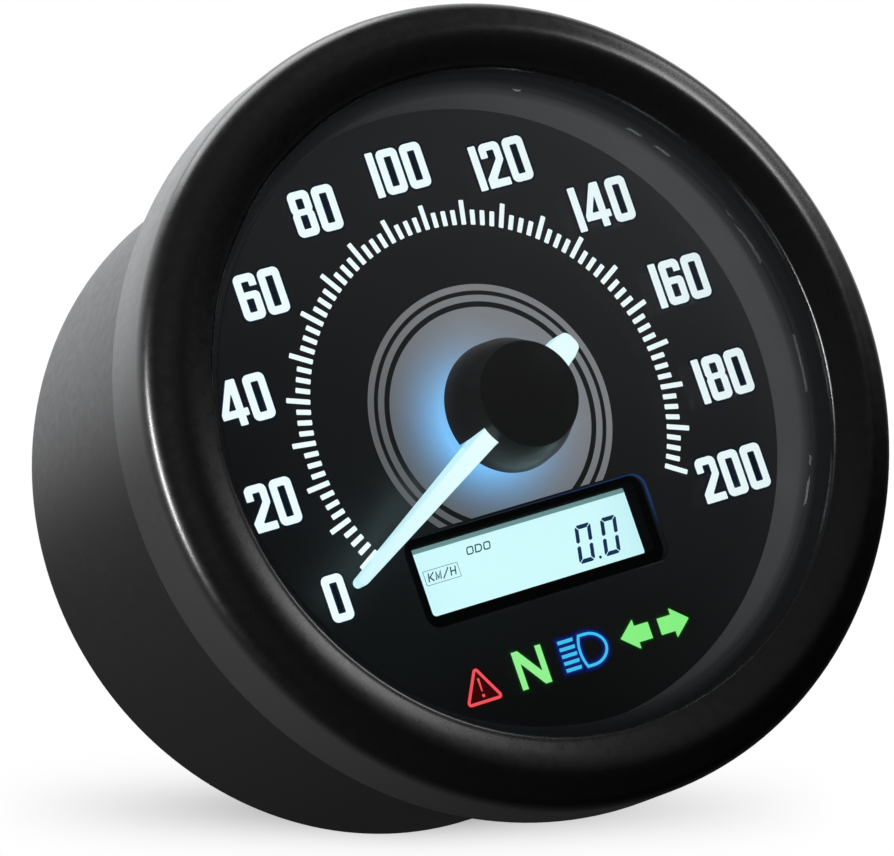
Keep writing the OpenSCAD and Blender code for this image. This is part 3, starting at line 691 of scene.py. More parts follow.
def dress_cad_nodes():
    """Gives each CAD node that stays in view its finish."""
    for slot, names in NODE_SLOTS.items():
        for name in names:
            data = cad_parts[name].data
            data.materials.clear()
            data.materials.append(finishes[slot])


# ---------------------------------------------------------------- case and glass

POST_RING, POST_ANGLES = 28.1, (20, 160, 200, 340)      # the posts that carry the board
SCREW_RING, SCREW_ANGLES = 25.4, (45, 135, 225, 315)    # the screws of the rear cover


def build_bezel():
    corner = (BEZEL_R - 2, 6.95)
    crest = (BEZEL_R - 3.55, 9.7)
    lip_r = BEZEL_R - 7
    skirt = CASE_R + 0.08
    turn = arc(*corner, 2, 0, 68, 14)
    shoulder = (turn[-1][0] - 0.83, turn[-1][1] + 0.34)
    outline = arc(BEZEL_R - 0.25, SEAM + 0.25, 0.25, -90, 0, 4)
    outline += turn
    outline += bezier(turn[-1], shoulder, (crest[0] + 0.7, crest[1]), crest, 8)
    outline += bezier(crest, (crest[0] - 1.0, crest[1]), (lip_r + 1.3, 9.26), (lip_r + 0.45, 9.0), 10)
    outline += arc(lip_r + 0.4, 8.6, 0.4, 90, 180, 6)[1:]
    outline += [(lip_r, 8.2), (skirt - 0.1, 8.2), (skirt, 8.1), (skirt, FLANGE - 0.02)]
    bead_r = BEZEL_R - 3
    outline += [(bead_r + 0.2, FLANGE - 0.02), (bead_r, FLANGE - 0.25)]
    outline += [(bead_r, SEAM + 0.2), (bead_r + 0.2, SEAM)]
    wear(turned("bezel_shell", outline, finishes["bezel_metal"]), "case", "bezel_metal", "bezel_ring")


def build_case():
    back = -DEPTH
    front_r, rear_r = 36.6, 35.5
    turn = 3.0
    lean = degrees(atan2(front_r - rear_r, FLANGE - back - turn))
    centre = (rear_r - turn * cos(radians(lean)), turn + back)
    inner_r = 35.1
    outline = arc(30.1 + 0.25, back + 0.25, 0.25, 180, 270, 4)
    outline += arc(*centre, turn, -90, -lean, 16)
    outline += [(front_r, FLANGE), (CASE_R, FLANGE), (CASE_R, 8.05), (CASE_R - 2, 8.05)]
    outline += [(CASE_R - 2, 5.25), (inner_r, 5.25), (inner_r, -3), (inner_r - 2, back + 9)]
    outline += [(29.0, back + 4.7), (26.4, back + 4.7), (26.4, back + 2.1), (30.1, back + 2.1)]
    mesh = bmesh.new()
    add_turned(mesh, outline, CASE, ROUND)
    post = [(0, back + 4), (0, -9.5), (2.4, -9.5), (2.6, -9.7), (2.6, back + 4)]
    boss = [(0, back + 4), (0, back + 8.1), (2.6, back + 8.1), (2.8, back + 7.9), (2.8, back + 4)]
    for angles, r, form in ((POST_ANGLES, POST_RING, post), (SCREW_ANGLES, SCREW_RING, boss)):
        for a in angles:
            add_turned(mesh, form, spot(*polar(r, a), 0, CASE), 32)
    shell = finish_mesh("case_shell", mesh, finishes["case_metal"])
    wear(shell, "case", "case_metal", "housing")


def build_trim():
    low, top, flare = 0.05, 6.25, 4.75
    outline = [(31.4, low), (35.0, low), (35.0, top - 0.2), (34.8, top), (32.7, top)]
    outline += bezier((32.5, top - 0.05), (32.1, 5.7), (31.4, 5.3), (31.4, flare), 8)
    wear(turned("trim_liner", outline, finishes["trim_plastic"]), "case", "trim_plastic", "trim_ring")


def build_lens():
    apex, thick, dome_r, rise = 11.05, 1.4, BEZEL_R - 7.2, 3.0
    sphere = (dome_r ** 2 + rise ** 2) / (2 * rise)
    centre = apex - sphere
    seat, top = 6.35, 8.05
    flange_in, flange_out = dome_r - 1.2, CASE_R - 2.1

    def dome(radius, reach, steps=24):
        rs = [reach * (1 - i / steps) for i in range(steps + 1)]
        return [(r, centre + sqrt(radius ** 2 - r * r)) for r in rs]

    outline = [(flange_in, seat), (flange_out, seat), (flange_out, top - 0.15), (flange_out - 0.15, top)]
    outline += [(dome_r + 0.15, top)]
    outline += dome(sphere, dome_r)
    outline += dome(sphere - thick, flange_in)[::-1]
    wear(turned("lens_dome", outline, finishes["lens_glass"]), "case", "lens_glass", "lens")


# ---------------------------------------------------------------- printed dial

FIGURE_W, FIGURE_H, STROKE = 2.37, 4.62, 0.78
FIGURE_ROUND, FIGURE_GAP = 0.62, 0.3
TICKS, TICK_STEP = 81, 3      # the marks of the scale, and the degrees between two
PRINT_LOW, PRINT_TOP = -0.01, 0.035    # ink starts just under the face that carries it


def figure_zero():
    hole = box_outline(STROKE, STROKE, FIGURE_W - STROKE, FIGURE_H - STROKE, 0.12)
    return [[box_outline(0, 0, FIGURE_W, FIGURE_H, FIGURE_ROUND), hole]], FIGURE_W


def figure_one():
    return [[box_outline(0, 0, 0.82, FIGURE_H, 0.1)]], 0.82


def figure_two():
    w, h, s = FIGURE_W, FIGURE_H, STROKE
    corners = [(0, 0, 0.1), (w + 0.05, 0, 0.1), (w + 0.05, s, 0.1), (0.95, s, 0.1), (w, 2.62, 0.5)]
    corners += [(w, h, FIGURE_ROUND), (0, h, FIGURE_ROUND), (0, h - 1.5, 0.1), (s, h - 1.5, 0.1)]
    corners += [(s, h - s, 0.12), (w - s, h - s, 0.12), (w - s, 2.86, 0.3), (0, 1.0, 0.2)]
    return [[rounded(corners)]], w + 0.05


def figure_four():
    h = FIGURE_H
    left, right, end = 1.62, 2.42, 2.87
    low, high = 0.87, 1.62
    corners = [(0, low, 0.12), (left, low, 0), (left, 0, 0.1), (right, 0, 0.1), (right, low, 0)]
    corners += [(end, low, 0.1), (end, high, 0.1), (right, high, 0), (right, h, 0.15)]
    corners += [(1.5, h, 0.15), (0, 1.45, 0.2)]
    hole = rounded([(0.84, high, 0.05), (left, high, 0.05), (left, 3.35, 0.05)])
    return [[rounded(corners), hole]], end


def figure_six():
    w, h, s = FIGURE_W, FIGURE_H, STROKE
    corners = [(0, 0, FIGURE_ROUND), (w, 0, FIGURE_ROUND), (w, h - 1.8, 0.5), (s, h - 1.8, 0)]
    corners += [(s, h - s, 0.12), (w - s, h - s, 0.12), (w - s, h - 1.3, 0.05), (w, h - 1.3, 0.08)]
    corners += [(w, h, FIGURE_ROUND), (0, h, FIGURE_ROUND)]
    return [[rounded(corners), box_outline(s, s, w - s, h - 2.5, 0.12)]], w


def figure_eight():
    w, h, s = FIGURE_W, FIGURE_H, STROKE
    waist, notch, reach = h - 2.14, 0.13, 0.3
    corners = [(0, 0, FIGURE_ROUND), (w, 0, FIGURE_ROUND), (w, waist - reach, 0.2)]
    corners += [(w - notch, waist, 0), (w, waist + reach, 0.2), (w, h, FIGURE_ROUND)]
    corners += [(0, h, FIGURE_ROUND), (0, waist + reach, 0.2), (notch, waist, 0), (0, waist - reach, 0.2)]
    lower = box_outline(s, s, w - s, h - 2.45, 0.12)
    upper = box_outline(s, h - 1.83, w - s, h - s, 0.12)
    return [[rounded(corners), lower, upper]], w


FIGURES = {"0": figure_zero, "1": figure_one, "2": figure_two, "4": figure_four,
           "6": figure_six, "8": figure_eight}

# Each number on the scale with the place of its centre.
NUMBERS = [
    ("0", -22.2, -12.85), ("20", -25.5, -2.55), ("40", -24.85, 7.8), ("60", -19.5, 17.3),
    ("80", -11.1, 23.8), ("100", -0.95, 25.7), ("120", 10.2, 23.8), ("140", 19.6, 17.3),
    ("160", 25.25, 7.8), ("180", 26.35, -2.6), ("200", 23.7, -12.2),
]


def number_shapes(text, x, y):
    """The figures of one number, centred on x, y."""
    made = [FIGURES[c]() for c in text]
    width = sum(w for _, w in made) + FIGURE_GAP * (len(made) - 1)
    at = x - width / 2
    shapes = []
    for figure, w in made:
        shapes += placed(figure, at, y - FIGURE_H / 2)
        at += w + FIGURE_GAP
    return shapes


def tick_shapes():
    """The marks of the scale. Every fourth is longer."""
    shapes = []
    inner, short, long, half = 19.2, 20.72, 21.7, 0.25
    for i in range(TICKS):
        a = radians(NEEDLE_ZERO - TICK_STEP * i)
        along, across = Vector((cos(a), sin(a))), Vector((-sin(a), cos(a)))
        outer = long if i % 4 == 0 else short
        sides = [(inner, -half), (outer, -half), (outer, half), (inner, half)]
        corners = [along * r + across * s for r, s in sides]
        shapes.append([rounded([(c.x, c.y, 0.08) for c in corners], 3)])
    return shapes


def band(r_in, r_out, floor):
    """A ring cut off flat at y = floor, as a C-shaped outline."""
    outer = asin(floor / r_out)
    loop = arc(0, 0, r_out, degrees(outer), 180 - degrees(outer), 120)
    if r_in > 0:
        inner = asin(floor / r_in)
        loop += arc(0, 0, r_in, 180 - degrees(inner), degrees(inner), 120)
    return loop


def ink_dial(name, shapes, top, ink):
    """Ink on the dial's face, up to a height."""
    wear(slab(name, shapes, PRINT_LOW, top, ink), "case", "dial_print")


def build_dial_print():
    white = lit("print_white", (0.86, 0.985, 1.0), 1.12)
    # Painted light: two faint blue rings of glow painted round the figures on the black.
    halos = [(0.22, 0.008, (0.0016, 0.006, 0.014)), (0.11, 0.014, (0.0045, 0.016, 0.034))]
    shapes = [s for text, x, y in NUMBERS for s in number_shapes(text, x, y)]
    ink_dial("scale_numbers", shapes, PRINT_TOP, white)
    ink_dial("scale_ticks", tick_shapes(), PRINT_TOP, white)
    for k, (reach, top, colour) in enumerate(halos):
        ink_dial(f"number_painted_glow_{k}", grown(shapes, reach), top, lit(f"print_painted_glow_{k}", colour, 1.0))
    cut = -9.2
    bands = [[band(0, 10.86, cut), circle(0, 0, 2.5)]]
    bands += [[band(r_in, r_out, cut)] for r_in, r_out in ((11.42, 12.08), (12.52, 13.17))]
    ink_dial("centre_disc", bands, 0.02, disc_material("disc_ink"))


# ---------------------------------------------------------------- tell-tales

def warning_shapes():
    mid, low, top = -10.73, -26.47, -23.1
    path = rounded([(mid - 1.93, low, 0.22), (mid + 1.93, low, 0.22), (mid, top, 0.22)])
    bar = rounded([(mid - 0.13, -24.12, 0.1), (mid - 0.07, -25.45, 0.05),
                   (mid + 0.07, -25.45, 0.05), (mid + 0.13, -24.12, 0.1)])
    return [ribbon(path, 0.3, True), [bar], [circle(mid, -25.88, 0.16, 20)]]


def neutral_shapes():
    x0, x1, y0, y1 = -6.48, -3.15, -26.58, -22.77
    s, run = 0.64, 1.25
    corners = [(x0, y0), (x0 + s, y0), (x0 + s, y1 - run), (x1 - s - 0.08, y0), (x1, y0)]
    corners += [(x1, y1), (x1 - s, y1), (x1 - s, y0 + run), (x0 + s + 0.08, y1), (x0, y1)]
    return [[rounded([(x, y, 0.04) for x, y in corners], 2)]]


def beam_shapes():
    shapes = []
    for k in range(5):
        y = -23.25 - 0.7 * k
        corners = [(-1.3, y - 0.18), (0.4, y - 0.18), (0.5, y + 0.18), (-1.3, y + 0.18)]
        shapes.append([rounded([(a, b, 0.04) for a, b in corners], 2)])
    top, low, left, right = -23.13, -26.24, 1.15, 3.8
    path = [(left, low), (left + 0.7, low)]
    path += bezier((left + 0.7, low), (2.95, low), (right, -25.5), (right, -24.68), 10)
    path += bezier((right, -24.68), (right, -23.85), (2.95, top), (left + 0.7, top), 10)
    path += bezier((left + 0.7, top), (left + 0.4, top), (left + 0.2, top), (left, top), 1)
    path += bezier((left, top), (0.68, -24.1), (0.68, -25.3), (left, low), 8)[:-1]
    shapes.append(ribbon(path, 0.29, True))
    return shapes


def arrow_shapes():
    mid, head, tail = -24.65, 1.52, 0.84
    left = [(5.5, mid), (7.38, mid - head), (7.38, mid - tail), (8.98, mid - tail)]
    left += [(8.98, mid + tail), (7.38, mid + tail), (7.38, mid + head)]
    right = [(5.5 + 13.52 - x, y) for x, y in left][::-1]
    return [[rounded([(x, y, 0.06) for x, y in side], 2)] for side in (left, right)]


def build_telltales():
    signs = [
        ("telltale_warning", warning_shapes(), (1.0, 0.10, 0.115), (0.05, 0.002, 0.003), 0.10),
        ("telltale_neutral", neutral_shapes(), (0.33, 1.0, 0.32), (0.006, 0.05, 0.008), 0.16),
        ("telltale_beam", beam_shapes(), (0.055, 0.60, 1.0), (0.006, 0.02, 0.20), 0.22),
        ("telltale_turns", arrow_shapes(), (0.28, 1.0, 0.26), (0.006, 0.05, 0.008), 0.16),
    ]
    for name, shapes, colour, halo, reach in signs:
        ink_dial(name, shapes, PRINT_TOP, lit(name + "_ink", colour, 1.0))
        # Painted light: faint glows of each sign's colour painted round it on the black.
        for k, (share, top) in enumerate(((0.25, 0.008), (0.8, 0.014))):
            ink = lit(f"{name}_glow_{k}", shaded(halo, share), 1.0)
            ink_dial(f"{name}_halo_{k}", grown(shapes, reach * (2 - k)), top, ink)


# ---------------------------------------------------------------- display

def seven_segments(lit_parts, w=1.85, h=3.77, t=0.42, gap=0.06, bevel=0.11):
    """A seven-segment figure. Parts run a to g, clockwise from the top, g in the middle."""
    m = h / 2
    left = [(t / 2, m + 0.12), (t, m + 0.25), (t, h - t - gap), (bevel, h - bevel - gap)]
    left += [(0, h - 2 * bevel - gap), (0, m + 0.25)]
    top = [(gap + t, h - t), (w - gap - t, h - t), (w - gap - bevel, h - bevel), (w - gap - 2 * bevel, h)]
    top += [(gap + 2 * bevel, h), (gap + bevel, h - bevel)]
    parts = {
        "a": top, "d": [(x, h - y) for x, y in top][::-1],
        "f": left, "e": [(x, h - y) for x, y in left][::-1],
        "b": [(w - x, y) for x, y in left][::-1], "c": [(w - x, h - y) for x, y in left],
        "g": [(gap + t / 2, m), (gap + t, m - t / 2), (w - gap - t, m - t / 2),
              (w - gap - t / 2, m), (w - gap - t, m + t / 2), (gap + t, m + t / 2)],
    }
    return [[parts[k]] for k in lit_parts]


def letter_shapes(letter, w, h, s):
    """A plain drawn letter. Strokes that meet only touch."""
    half = s / 2
    ring = [(half, half, 0.18), (w - half, half, 0.18), (w - half, h - half, 0.18), (half, h - half, 0.18)]
    if letter == "O":
        return [ribbon(rounded(ring), s, True)]
    if letter == "D":
        ring[0], ring[3] = (half, half, 0), (half, h - half, 0)
        ring[1], ring[2] = (w - half, half, 0.3), (w - half, h - half, 0.3)
        return [ribbon(rounded(ring), s, True)]
    if letter == "K":
        arms = ribbon([(w, h), (s + half, h / 2), (w, 0)], s)
        return [[box_outline(0, 0, s, h)], arms]
    if letter == "M":
        return [ribbon([(half, 0), (half, h - half), (w / 2, s), (w - half, h - half), (w - half, 0)], s)]
    if letter == "H":
        bars = [[box_outline(x, 0, x + s, h)] for x in (0, w - s)]
        return bars + [[box_outline(s, h / 2 - half, w - s, h / 2 + half)]]
    return [ribbon([(0, -0.05), (w, h + 0.05)], s)]


def word_shapes(text, x, y, w, h, s, gap, lean):
    shapes = []
    for k, letter in enumerate(text):
        shapes += placed(letter_shapes(letter, w, h, s), x + k * (w + gap), y, lean)
    return shapes


def build_display():
    glass = -DISPLAY_DEPTH
    side, low, high = WINDOW_W / 2, -WINDOW_DROP - WINDOW_H / 2, -WINDOW_DROP + WINDOW_H / 2
    field_top, strip_top = high - 1.31, high - 0.85
    field = box_outline(-side + 0.3, low + 0.3, side - 0.3, field_top, 0.1)
    lit_field = display_material("display_lit")
    wear(slab("display_field", [[field]], glass - 0.01, glass + 0.02, lit_field), "case", "backlight")
    # Painted shade: a darker strip along the top of the lit field, where the window frame shades it.
    strip = box_outline(-side + 0.3, field_top, side - 0.3, strip_top)
    teal = lit("display_painted_shade", (0.16, 0.31, 0.31), 1.0)
    wear(slab("display_painted_shade_strip", [[strip]], glass - 0.01, glass + 0.015, teal), "case", "backlight")
    ink = lit("display_ink", (0.006, 0.030, 0.095), 1.0)
    faint = lit("display_ink_thin", (0.014, 0.05, 0.10), 1.0)
    digits = []
    for x in (5.66, 8.66):
        digits += placed(seven_segments("abcdef"), x, -16.3, 0.21)
    digits.append([circle(8.14, -16.18, 0.16, 16)])
    level, top = glass + 0.02, glass + 0.035
    wear(slab("display_digits", digits, level, top, ink), "case", "display_glass")
    words = word_shapes("ODO", -5.85, -12.26, 0.8, 0.81, 0.13, 0.17, 0.2)
    words += word_shapes("KM/H", -10.75, -13.7, 0.64, 0.86, 0.13, 0.2, 0.2)
    words.append(ribbon(box_outline(-11.05, -14.0, -7.16, -12.58), 0.05, True))
    wear(slab("display_words", words, level, top, faint), "case", "display_glass")
    cut = box_outline(-side, low, side, high, 1.5, 8)
    blue = liner_material("window_edge_blue")
    wear(slab("window_edge", [[cut, offset(cut, -0.07)]], -0.45, -0.03, blue), "case", "dial_print")
    # Painted highlight: a thin pale line along the window's lower edge, brighter towards its right end.
    for k, (x0, x1, glow) in enumerate(((-side + 1, side - 4, 0.012), (side - 4, side - 1, 0.03))):
        line = box_outline(x0, low - 0.09, x1, low - 0.03)
        grey = lit(f"window_painted_highlight_{k}", (glow, glow, glow), 1.0)
        ink_dial(f"window_line_{k}", [[line]], 0.01, grey)


# ---------------------------------------------------------------- needle

ROOT_H, ROOT_S = 7.55, 5.4    # the needle's top at its hub, and where it leaves the cap
NEEDLE_TAIL, TAIL_HALF, ROOT_HALF = 8.3, 1.45, 0.95


def needle_station(s, half, low, top):
    """The needle's section at distance s along it, as points (s, across, height)."""
    c = min(0.14, half * 0.6)
    points = [(-half, low), (half, low), (half, top - c), (half - c * 0.3, top - c * 0.3)]
    points += [(half - c, top), (-half + c, top), (-half + c * 0.3, top - c * 0.3), (-half, top - c)]
    return [(s, a, h) for a, h in points]


def build_needle():
    """A wedge: deep where it leaves the cap, lower and thinner towards the scale."""
    length, tip_half = 25.2, 0.5
    tip_h, blade_root_h, blade_tip_h = 5.1, 4.35, 3.45
    body_h = ROOT_H - 1.5
    step = 3.1

    def slope(s, start, end):
        return start + (end - start) * max(0.0, s - ROOT_S) / (length - ROOT_S)

    def low_at(s):
        return body_h if s <= step else slope(s, blade_root_h, blade_tip_h)

    tip_centre = length - tip_half
    tail = -NEEDLE_TAIL
    widths = [(tail, 0.55), (tail + 0.1, 0.85), (tail + 0.3, 1.08), (tail + 1.2, 1.33), (-5.4, TAIL_HALF)]
    widths += [(s, TAIL_HALF) for s in (-2.0, 0)]
    widths += [(s, ROOT_HALF) for s in (2, step, step + 0.3, ROOT_S)] + [(15, 0.73)]
    widths += [(tip_centre + tip_half * sin(radians(a)), tip_half * cos(radians(a)))
               for a in (0, 25, 45, 60, 72, 80)]
    at_needle = rotated(NEEDLE_ZERO)
    mesh = bmesh.new()
    rings = []
    for s, half in widths:
        section = needle_station(s, half, low_at(s), slope(s, ROOT_H, tip_h))
        rings.append([mesh.verts.new(at_needle(*p)) for p in section])
    add_tube(mesh, rings)
    bore, hub_r, hub_low = 1.61, 2.9, ROOT_H - 1.7
    hub = [(bore, hub_low), (bore, ROOT_H - 0.01), (hub_r - 0.2, ROOT_H - 0.01)]
    hub += [(hub_r, ROOT_H - 0.2), (hub_r, hub_low)]
    add_turned(mesh, hub, DIAL, SMALL_ROUND)
    piece = finish_mesh("pointer", mesh, finishes["needle_lit"], radians(50))
    wear(piece, "needle", "needle_lit", "needle")


def slot_tool(name, reach, half, top):
    """A bar that cuts the needle's slot through the side of the cap, from the axis outward."""
    along = rotated(NEEDLE_ZERO)
    bar = box_outline(0, -half, 1, half)
    return slab(name, [[bar]], 0, top, None, lambda x, y, h: along(reach * x, y, h))


def build_cap():
    base_r, shoulder_r, top_r = 6.6, 6.4, 5.3
    base_h, shoulder_h, top_h = 3.0, 5.3, 8.9
    skin, rim = 0.55, 0.4
    outline = [(0, top_h), (0, top_h - skin), (top_r - skin - 0.1, top_h - skin)]
    outline += [(shoulder_r - skin, shoulder_h), (base_r - skin, base_h)]
    outline += [(base_r - 0.2, base_h), (base_r, base_h + 0.35), (shoulder_r, shoulder_h)]
    outline += arc(top_r - rim, top_h - rim, rim, 18, 90, 10)
    cap = turned("hub_cap", outline, finishes["cap_plastic"], DIAL, 128)
    slot_top = ROOT_H + 0.04
    carve(cap, slot_tool("cut_pointer", 10, ROOT_HALF + 0.06, slot_top),
          slot_tool("cut_tail", -10, TAIL_HALF + 0.07, slot_top))
    wear(cap, "needle", "cap_plastic", "needle_cap")


# ---------------------------------------------------------------- back of the gauge

STUDS = [(15, 0), (-15, 0)]


def on_back(node):
    """The centre of a node's box, brought to the back face."""
    place = middle(node)
    return Vector((place.x, 0, place.z))


BUTTON, VENT, GROMMET = on_back("mode_button"), on_back("vent_plug"), on_back("cable_grommet")


def back_spot(x, y):
    """A centre on the back face. Heights from it are negative behind the gauge."""
    return spot(x, y, 0, BACK)


def drill(name, x, y, r, low=-3.0, high=3.0, segments=SMALL_ROUND):
    return turned(name, [(0, low), (0, high), (r, high), (r, low)], None, back_spot(x, y), segments)


def build_cover():
    r, t = 30.0, 2.0
    outline = [(0, 0), (0, t), (r - 0.2, t), (r, t - 0.2)] + arc(r - 0.35, 0.35, 0.35, 0, -90, 6)
    outline += [(r - 1.6, 0), (r - 1.75, 0.22), (r - 2.05, 0.22), (r - 2.2, 0)]
    cover = turned("back_plate", outline, finishes["cover_metal"], BACK)
    holes = [(x, y, 2.91) for x, y in STUDS]
    holes += [(at.x / MM, at.z / MM, r) for at, r in ((GROMMET, 5.0), (BUTTON, 3.5), (VENT, 2.2))]
    tools = [drill(f"cut_hole_{k}", *hole) for k, hole in enumerate(holes)]
    for a in SCREW_ANGLES:
        sink = [(0, -1), (0, 3), (1.45, 3), (1.45, 1.55), (2.85, 0), (2.85, -1)]
        tools.append(turned(f"cut_sink_{a}", sink, None, back_spot(*polar(SCREW_RING, a)), SMALL_ROUND))
    carve(cover, *tools)
    wear(cover, "case", "cover_metal", "rear_cover")


def build_screws():
    slot = rounded([(-1.35, -0.28, 0.1), (1.35, -0.28, 0.1), (1.35, 0.28, 0.1), (-1.35, 0.28, 0.1)])
    for a in SCREW_ANGLES:
        x, y = polar(SCREW_RING, a)
        outline = [(0, 0.1), (0, 6.7), (1.0, 6.7), (1.28, 6.4), (1.28, 1.25), (2.4, 0.25)]
        outline += [(2.38, 0.15), (2.25, 0.1)]
        screw = turned(f"cover_screw_{a}", outline, finishes["dark_steel"], back_spot(x, y), 48)
        cross = []
        for k, turn in enumerate((a + 20, a + 110)):
            place = rotated(turn, x, y, BACK)
            cross.append(slab(f"cut_cross_{a}_{k}", [[slot]], -0.3, 0.75, None, place))
        carve(screw, *cross)
        wear(screw, "case", "dark_steel", "cover_screws")


def thread_cut(turns, depth):
    """How deep a thread is cut, by the turns that a place is along: flank, flat, flank."""
    place = turns % 1.0
    flat_start, flat_end = 0.38, 0.62
    if place < flat_start:
        return depth * place / flat_start
    if place < flat_end:
        return depth
    return depth * ((1 - place) / (1 - flat_end))


def build_studs():
    pitch, depth, r, neck_r = 0.8, 0.42, 2.5, 2.89
    start, end = -11.95, -0.6
    rows, columns = 170, 36
    angles = [2 * pi * j / columns for j in range(columns)]
    for k, (x, y) in enumerate(STUDS):
        centre = back_spot(x, y)
        mesh = bmesh.new()
        levels = []
        for i in range(rows + 1):
            h = start + (end - start) * i / rows
            fade = min(1.0, max(0.0, end - h))
            chamfer = r - 0.75 + (h - start)
            cuts = [thread_cut(h / pitch + j / columns, depth) * fade for j in range(columns)]
            levels.append((h, [min(r - cut, chamfer) for cut in cuts]))
        for h, radius in ((0.0, r), (0.02, neck_r), (2.1, neck_r)):
            levels.append((h, [radius] * columns))
        rings = []
        for h, radii in levels:
            points = [Vector((radius * cos(a), -h, radius * sin(a))) for radius, a in zip(radii, angles)]
            rings.append([mesh.verts.new(centre + point * MM) for point in points])
        add_tube(mesh, rings)
        hexagon = [(0, 2.05), (0, 3.65), (3.6, 3.65), (3.9, 3.5), (3.9, 2.2), (3.6, 2.05)]
        add_turned(mesh, hexagon, centre, 6)
        stud = finish_mesh(f"threaded_stud_{k}", mesh, finishes["steel"], radians(40))
        wear(stud, "case", "steel", "mounting_studs")


def build_grommet():
    bore, flange = 3.0, 6.5
    outline = [(bore, 3.2), (5.6, 3.2), (5.8, 3.0), (5.8, 2.05), (4.95, 2.05), (4.95, 0.0)]
    outline += [(flange - 0.1, -0.02), (flange, -0.15)] + arc(flange - 0.45, -0.95, 0.45, 0, -90, 6)
    outline += [(5.2, -1.45)]
    ribs = 5
    for k in range(ribs):
        low = -1.6 - k * 1.05
        r = 5.0 - 0.14 * k
        outline += [(r - 0.35, low), (r - 0.35, low - 0.35)]
        outline += arc(r - 0.25, low - 0.7, 0.25, 60, -60, 4)
    outline += [(4.15, -6.85), (4.0, -7.0), (bore + 0.25, -7.0), (bore, -6.75)]
    grommet = turned("inlet_grommet", outline, finishes["rubber"], GROMMET, SMALL_ROUND)
    wear(grommet, "case", "rubber", "cable_grommet")


def build_vent():
    outline = [(1.0, 2.0), (2.15, 2.0), (2.15, -0.02), (3.3, -0.02), (3.4, -0.15)]
    outline += arc(3.05, -1.05, 0.35, 0, -90, 6) + [(1.35, -1.4), (1.2, -1.25), (1.2, -0.6), (1.0, -0.6)]
    vent = turned("vent_cap", outline, finishes["black_plastic"], VENT, SMALL_ROUND)
    tools = []
    hole = [(0, -2), (0, -0.7), (0.35, -0.7), (0.35, -2)]
    for a in range(0, 360, 60):
        x, z = polar(2.45, a)
        centre = VENT + Vector((x, 0, z)) * MM
        tools.append(turned(f"cut_vent_{a}", hole, None, centre, 20))
    carve(vent, *tools)
    wear(vent, "case", "black_plastic", "vent_plug")


def build_button():
    collar = [(3.15, -2.25), (3.3, -2.4), (4.6, -2.4)] + arc(4.65, -2.05, 0.35, -90, 0, 6)
    collar += [(5.0, -0.15), (4.9, -0.01), (3.45, -0.01), (3.45, 3.3), (1.6, 3.3), (1.6, 0.2), (3.15, 0.2)]
    wear(turned("button_guard", collar, finishes["black_plastic"], BUTTON, SMALL_ROUND),
         "case", "black_plastic", "button_collar")
    low, high = -3.6, -1.1
    cap = [(0, low + 0.25), (0, low + 1.4), (1.51, low + 1.4), (1.51, high)]
    cap += [(2.85, high), (3.0, high - 0.15)]
    cap += arc(2.55, low + 0.45, 0.45, 0, -90, 8) + [(2.2, low), (1.6, low + 0.16), (0.8, low + 0.24)]
    wear(turned("button_cap", cap, finishes["rubber"], BUTTON, SMALL_ROUND),
         "mode_button", "rubber", "mode_button")


# ---------------------------------------------------------------- camera, light and floor

AZIMUTH, ELEVATION, ROLL = -28.03, -5.51, -18.84
DISTANCE = 497.6
AIM = spot(-5.10, -0.07, 0)
LENS, SENSOR = 206.64, 36.0


def camera_axes():
    """The camera's right, up and backward directions."""
    a, e = radians(AZIMUTH), radians(ELEVATION)
    back = Vector((sin(a) * cos(e), -cos(a) * cos(e), sin(e)))
    level = Vector((cos(a), sin(a), 0))
    above = back.cross(level)
    turn = radians(ROLL)
    right = level * cos(turn) + above * sin(turn)
    return right, back.cross(right), back


def add_camera():
    right, up, back = camera_axes()
    data = bpy.data.cameras.new("camera")
    data.lens = LENS
    data.sensor_width = SENSOR
    data.clip_start, data.clip_end = 0.01, 10
    camera = bpy.data.objects.new("camera", data)
    bpy.context.scene.collection.objects.link(camera)
    camera.matrix_world = Matrix((right, up, back)).transposed().to_4x4()
    camera.location = AIM + back * (DISTANCE * MM)
    bpy.context.scene.camera = camera


class Sky(Paint):
    """The world's shader, with directions in place of object coordinates."""

    def __init__(self):
        world = bpy.data.worlds.new("studio")
        bpy.context.scene.world = world
        world.use_nodes = True
        self.tree = world.node_tree
        self.tree.nodes.clear()
        self.out = self.add("ShaderNodeOutputWorld")
        self.coords = self.add("ShaderNodeTexCoord").outputs["Generated"]

    def along(self, direction):
        """How far a ray's direction goes along a fixed one."""
        node = self.add("ShaderNodeVectorMath", operation="DOT_PRODUCT")
        self.feed(node.inputs[0], self.coords)
        self.feed(node.inputs[1], direction)
        return node.outputs["Value"]


SHADOW_AT = (-0.0072, -0.0739)    # middle of the ground shadow, by slopes from the view's axis
SHADOW_SIZE = (0.0838, 0.0056)


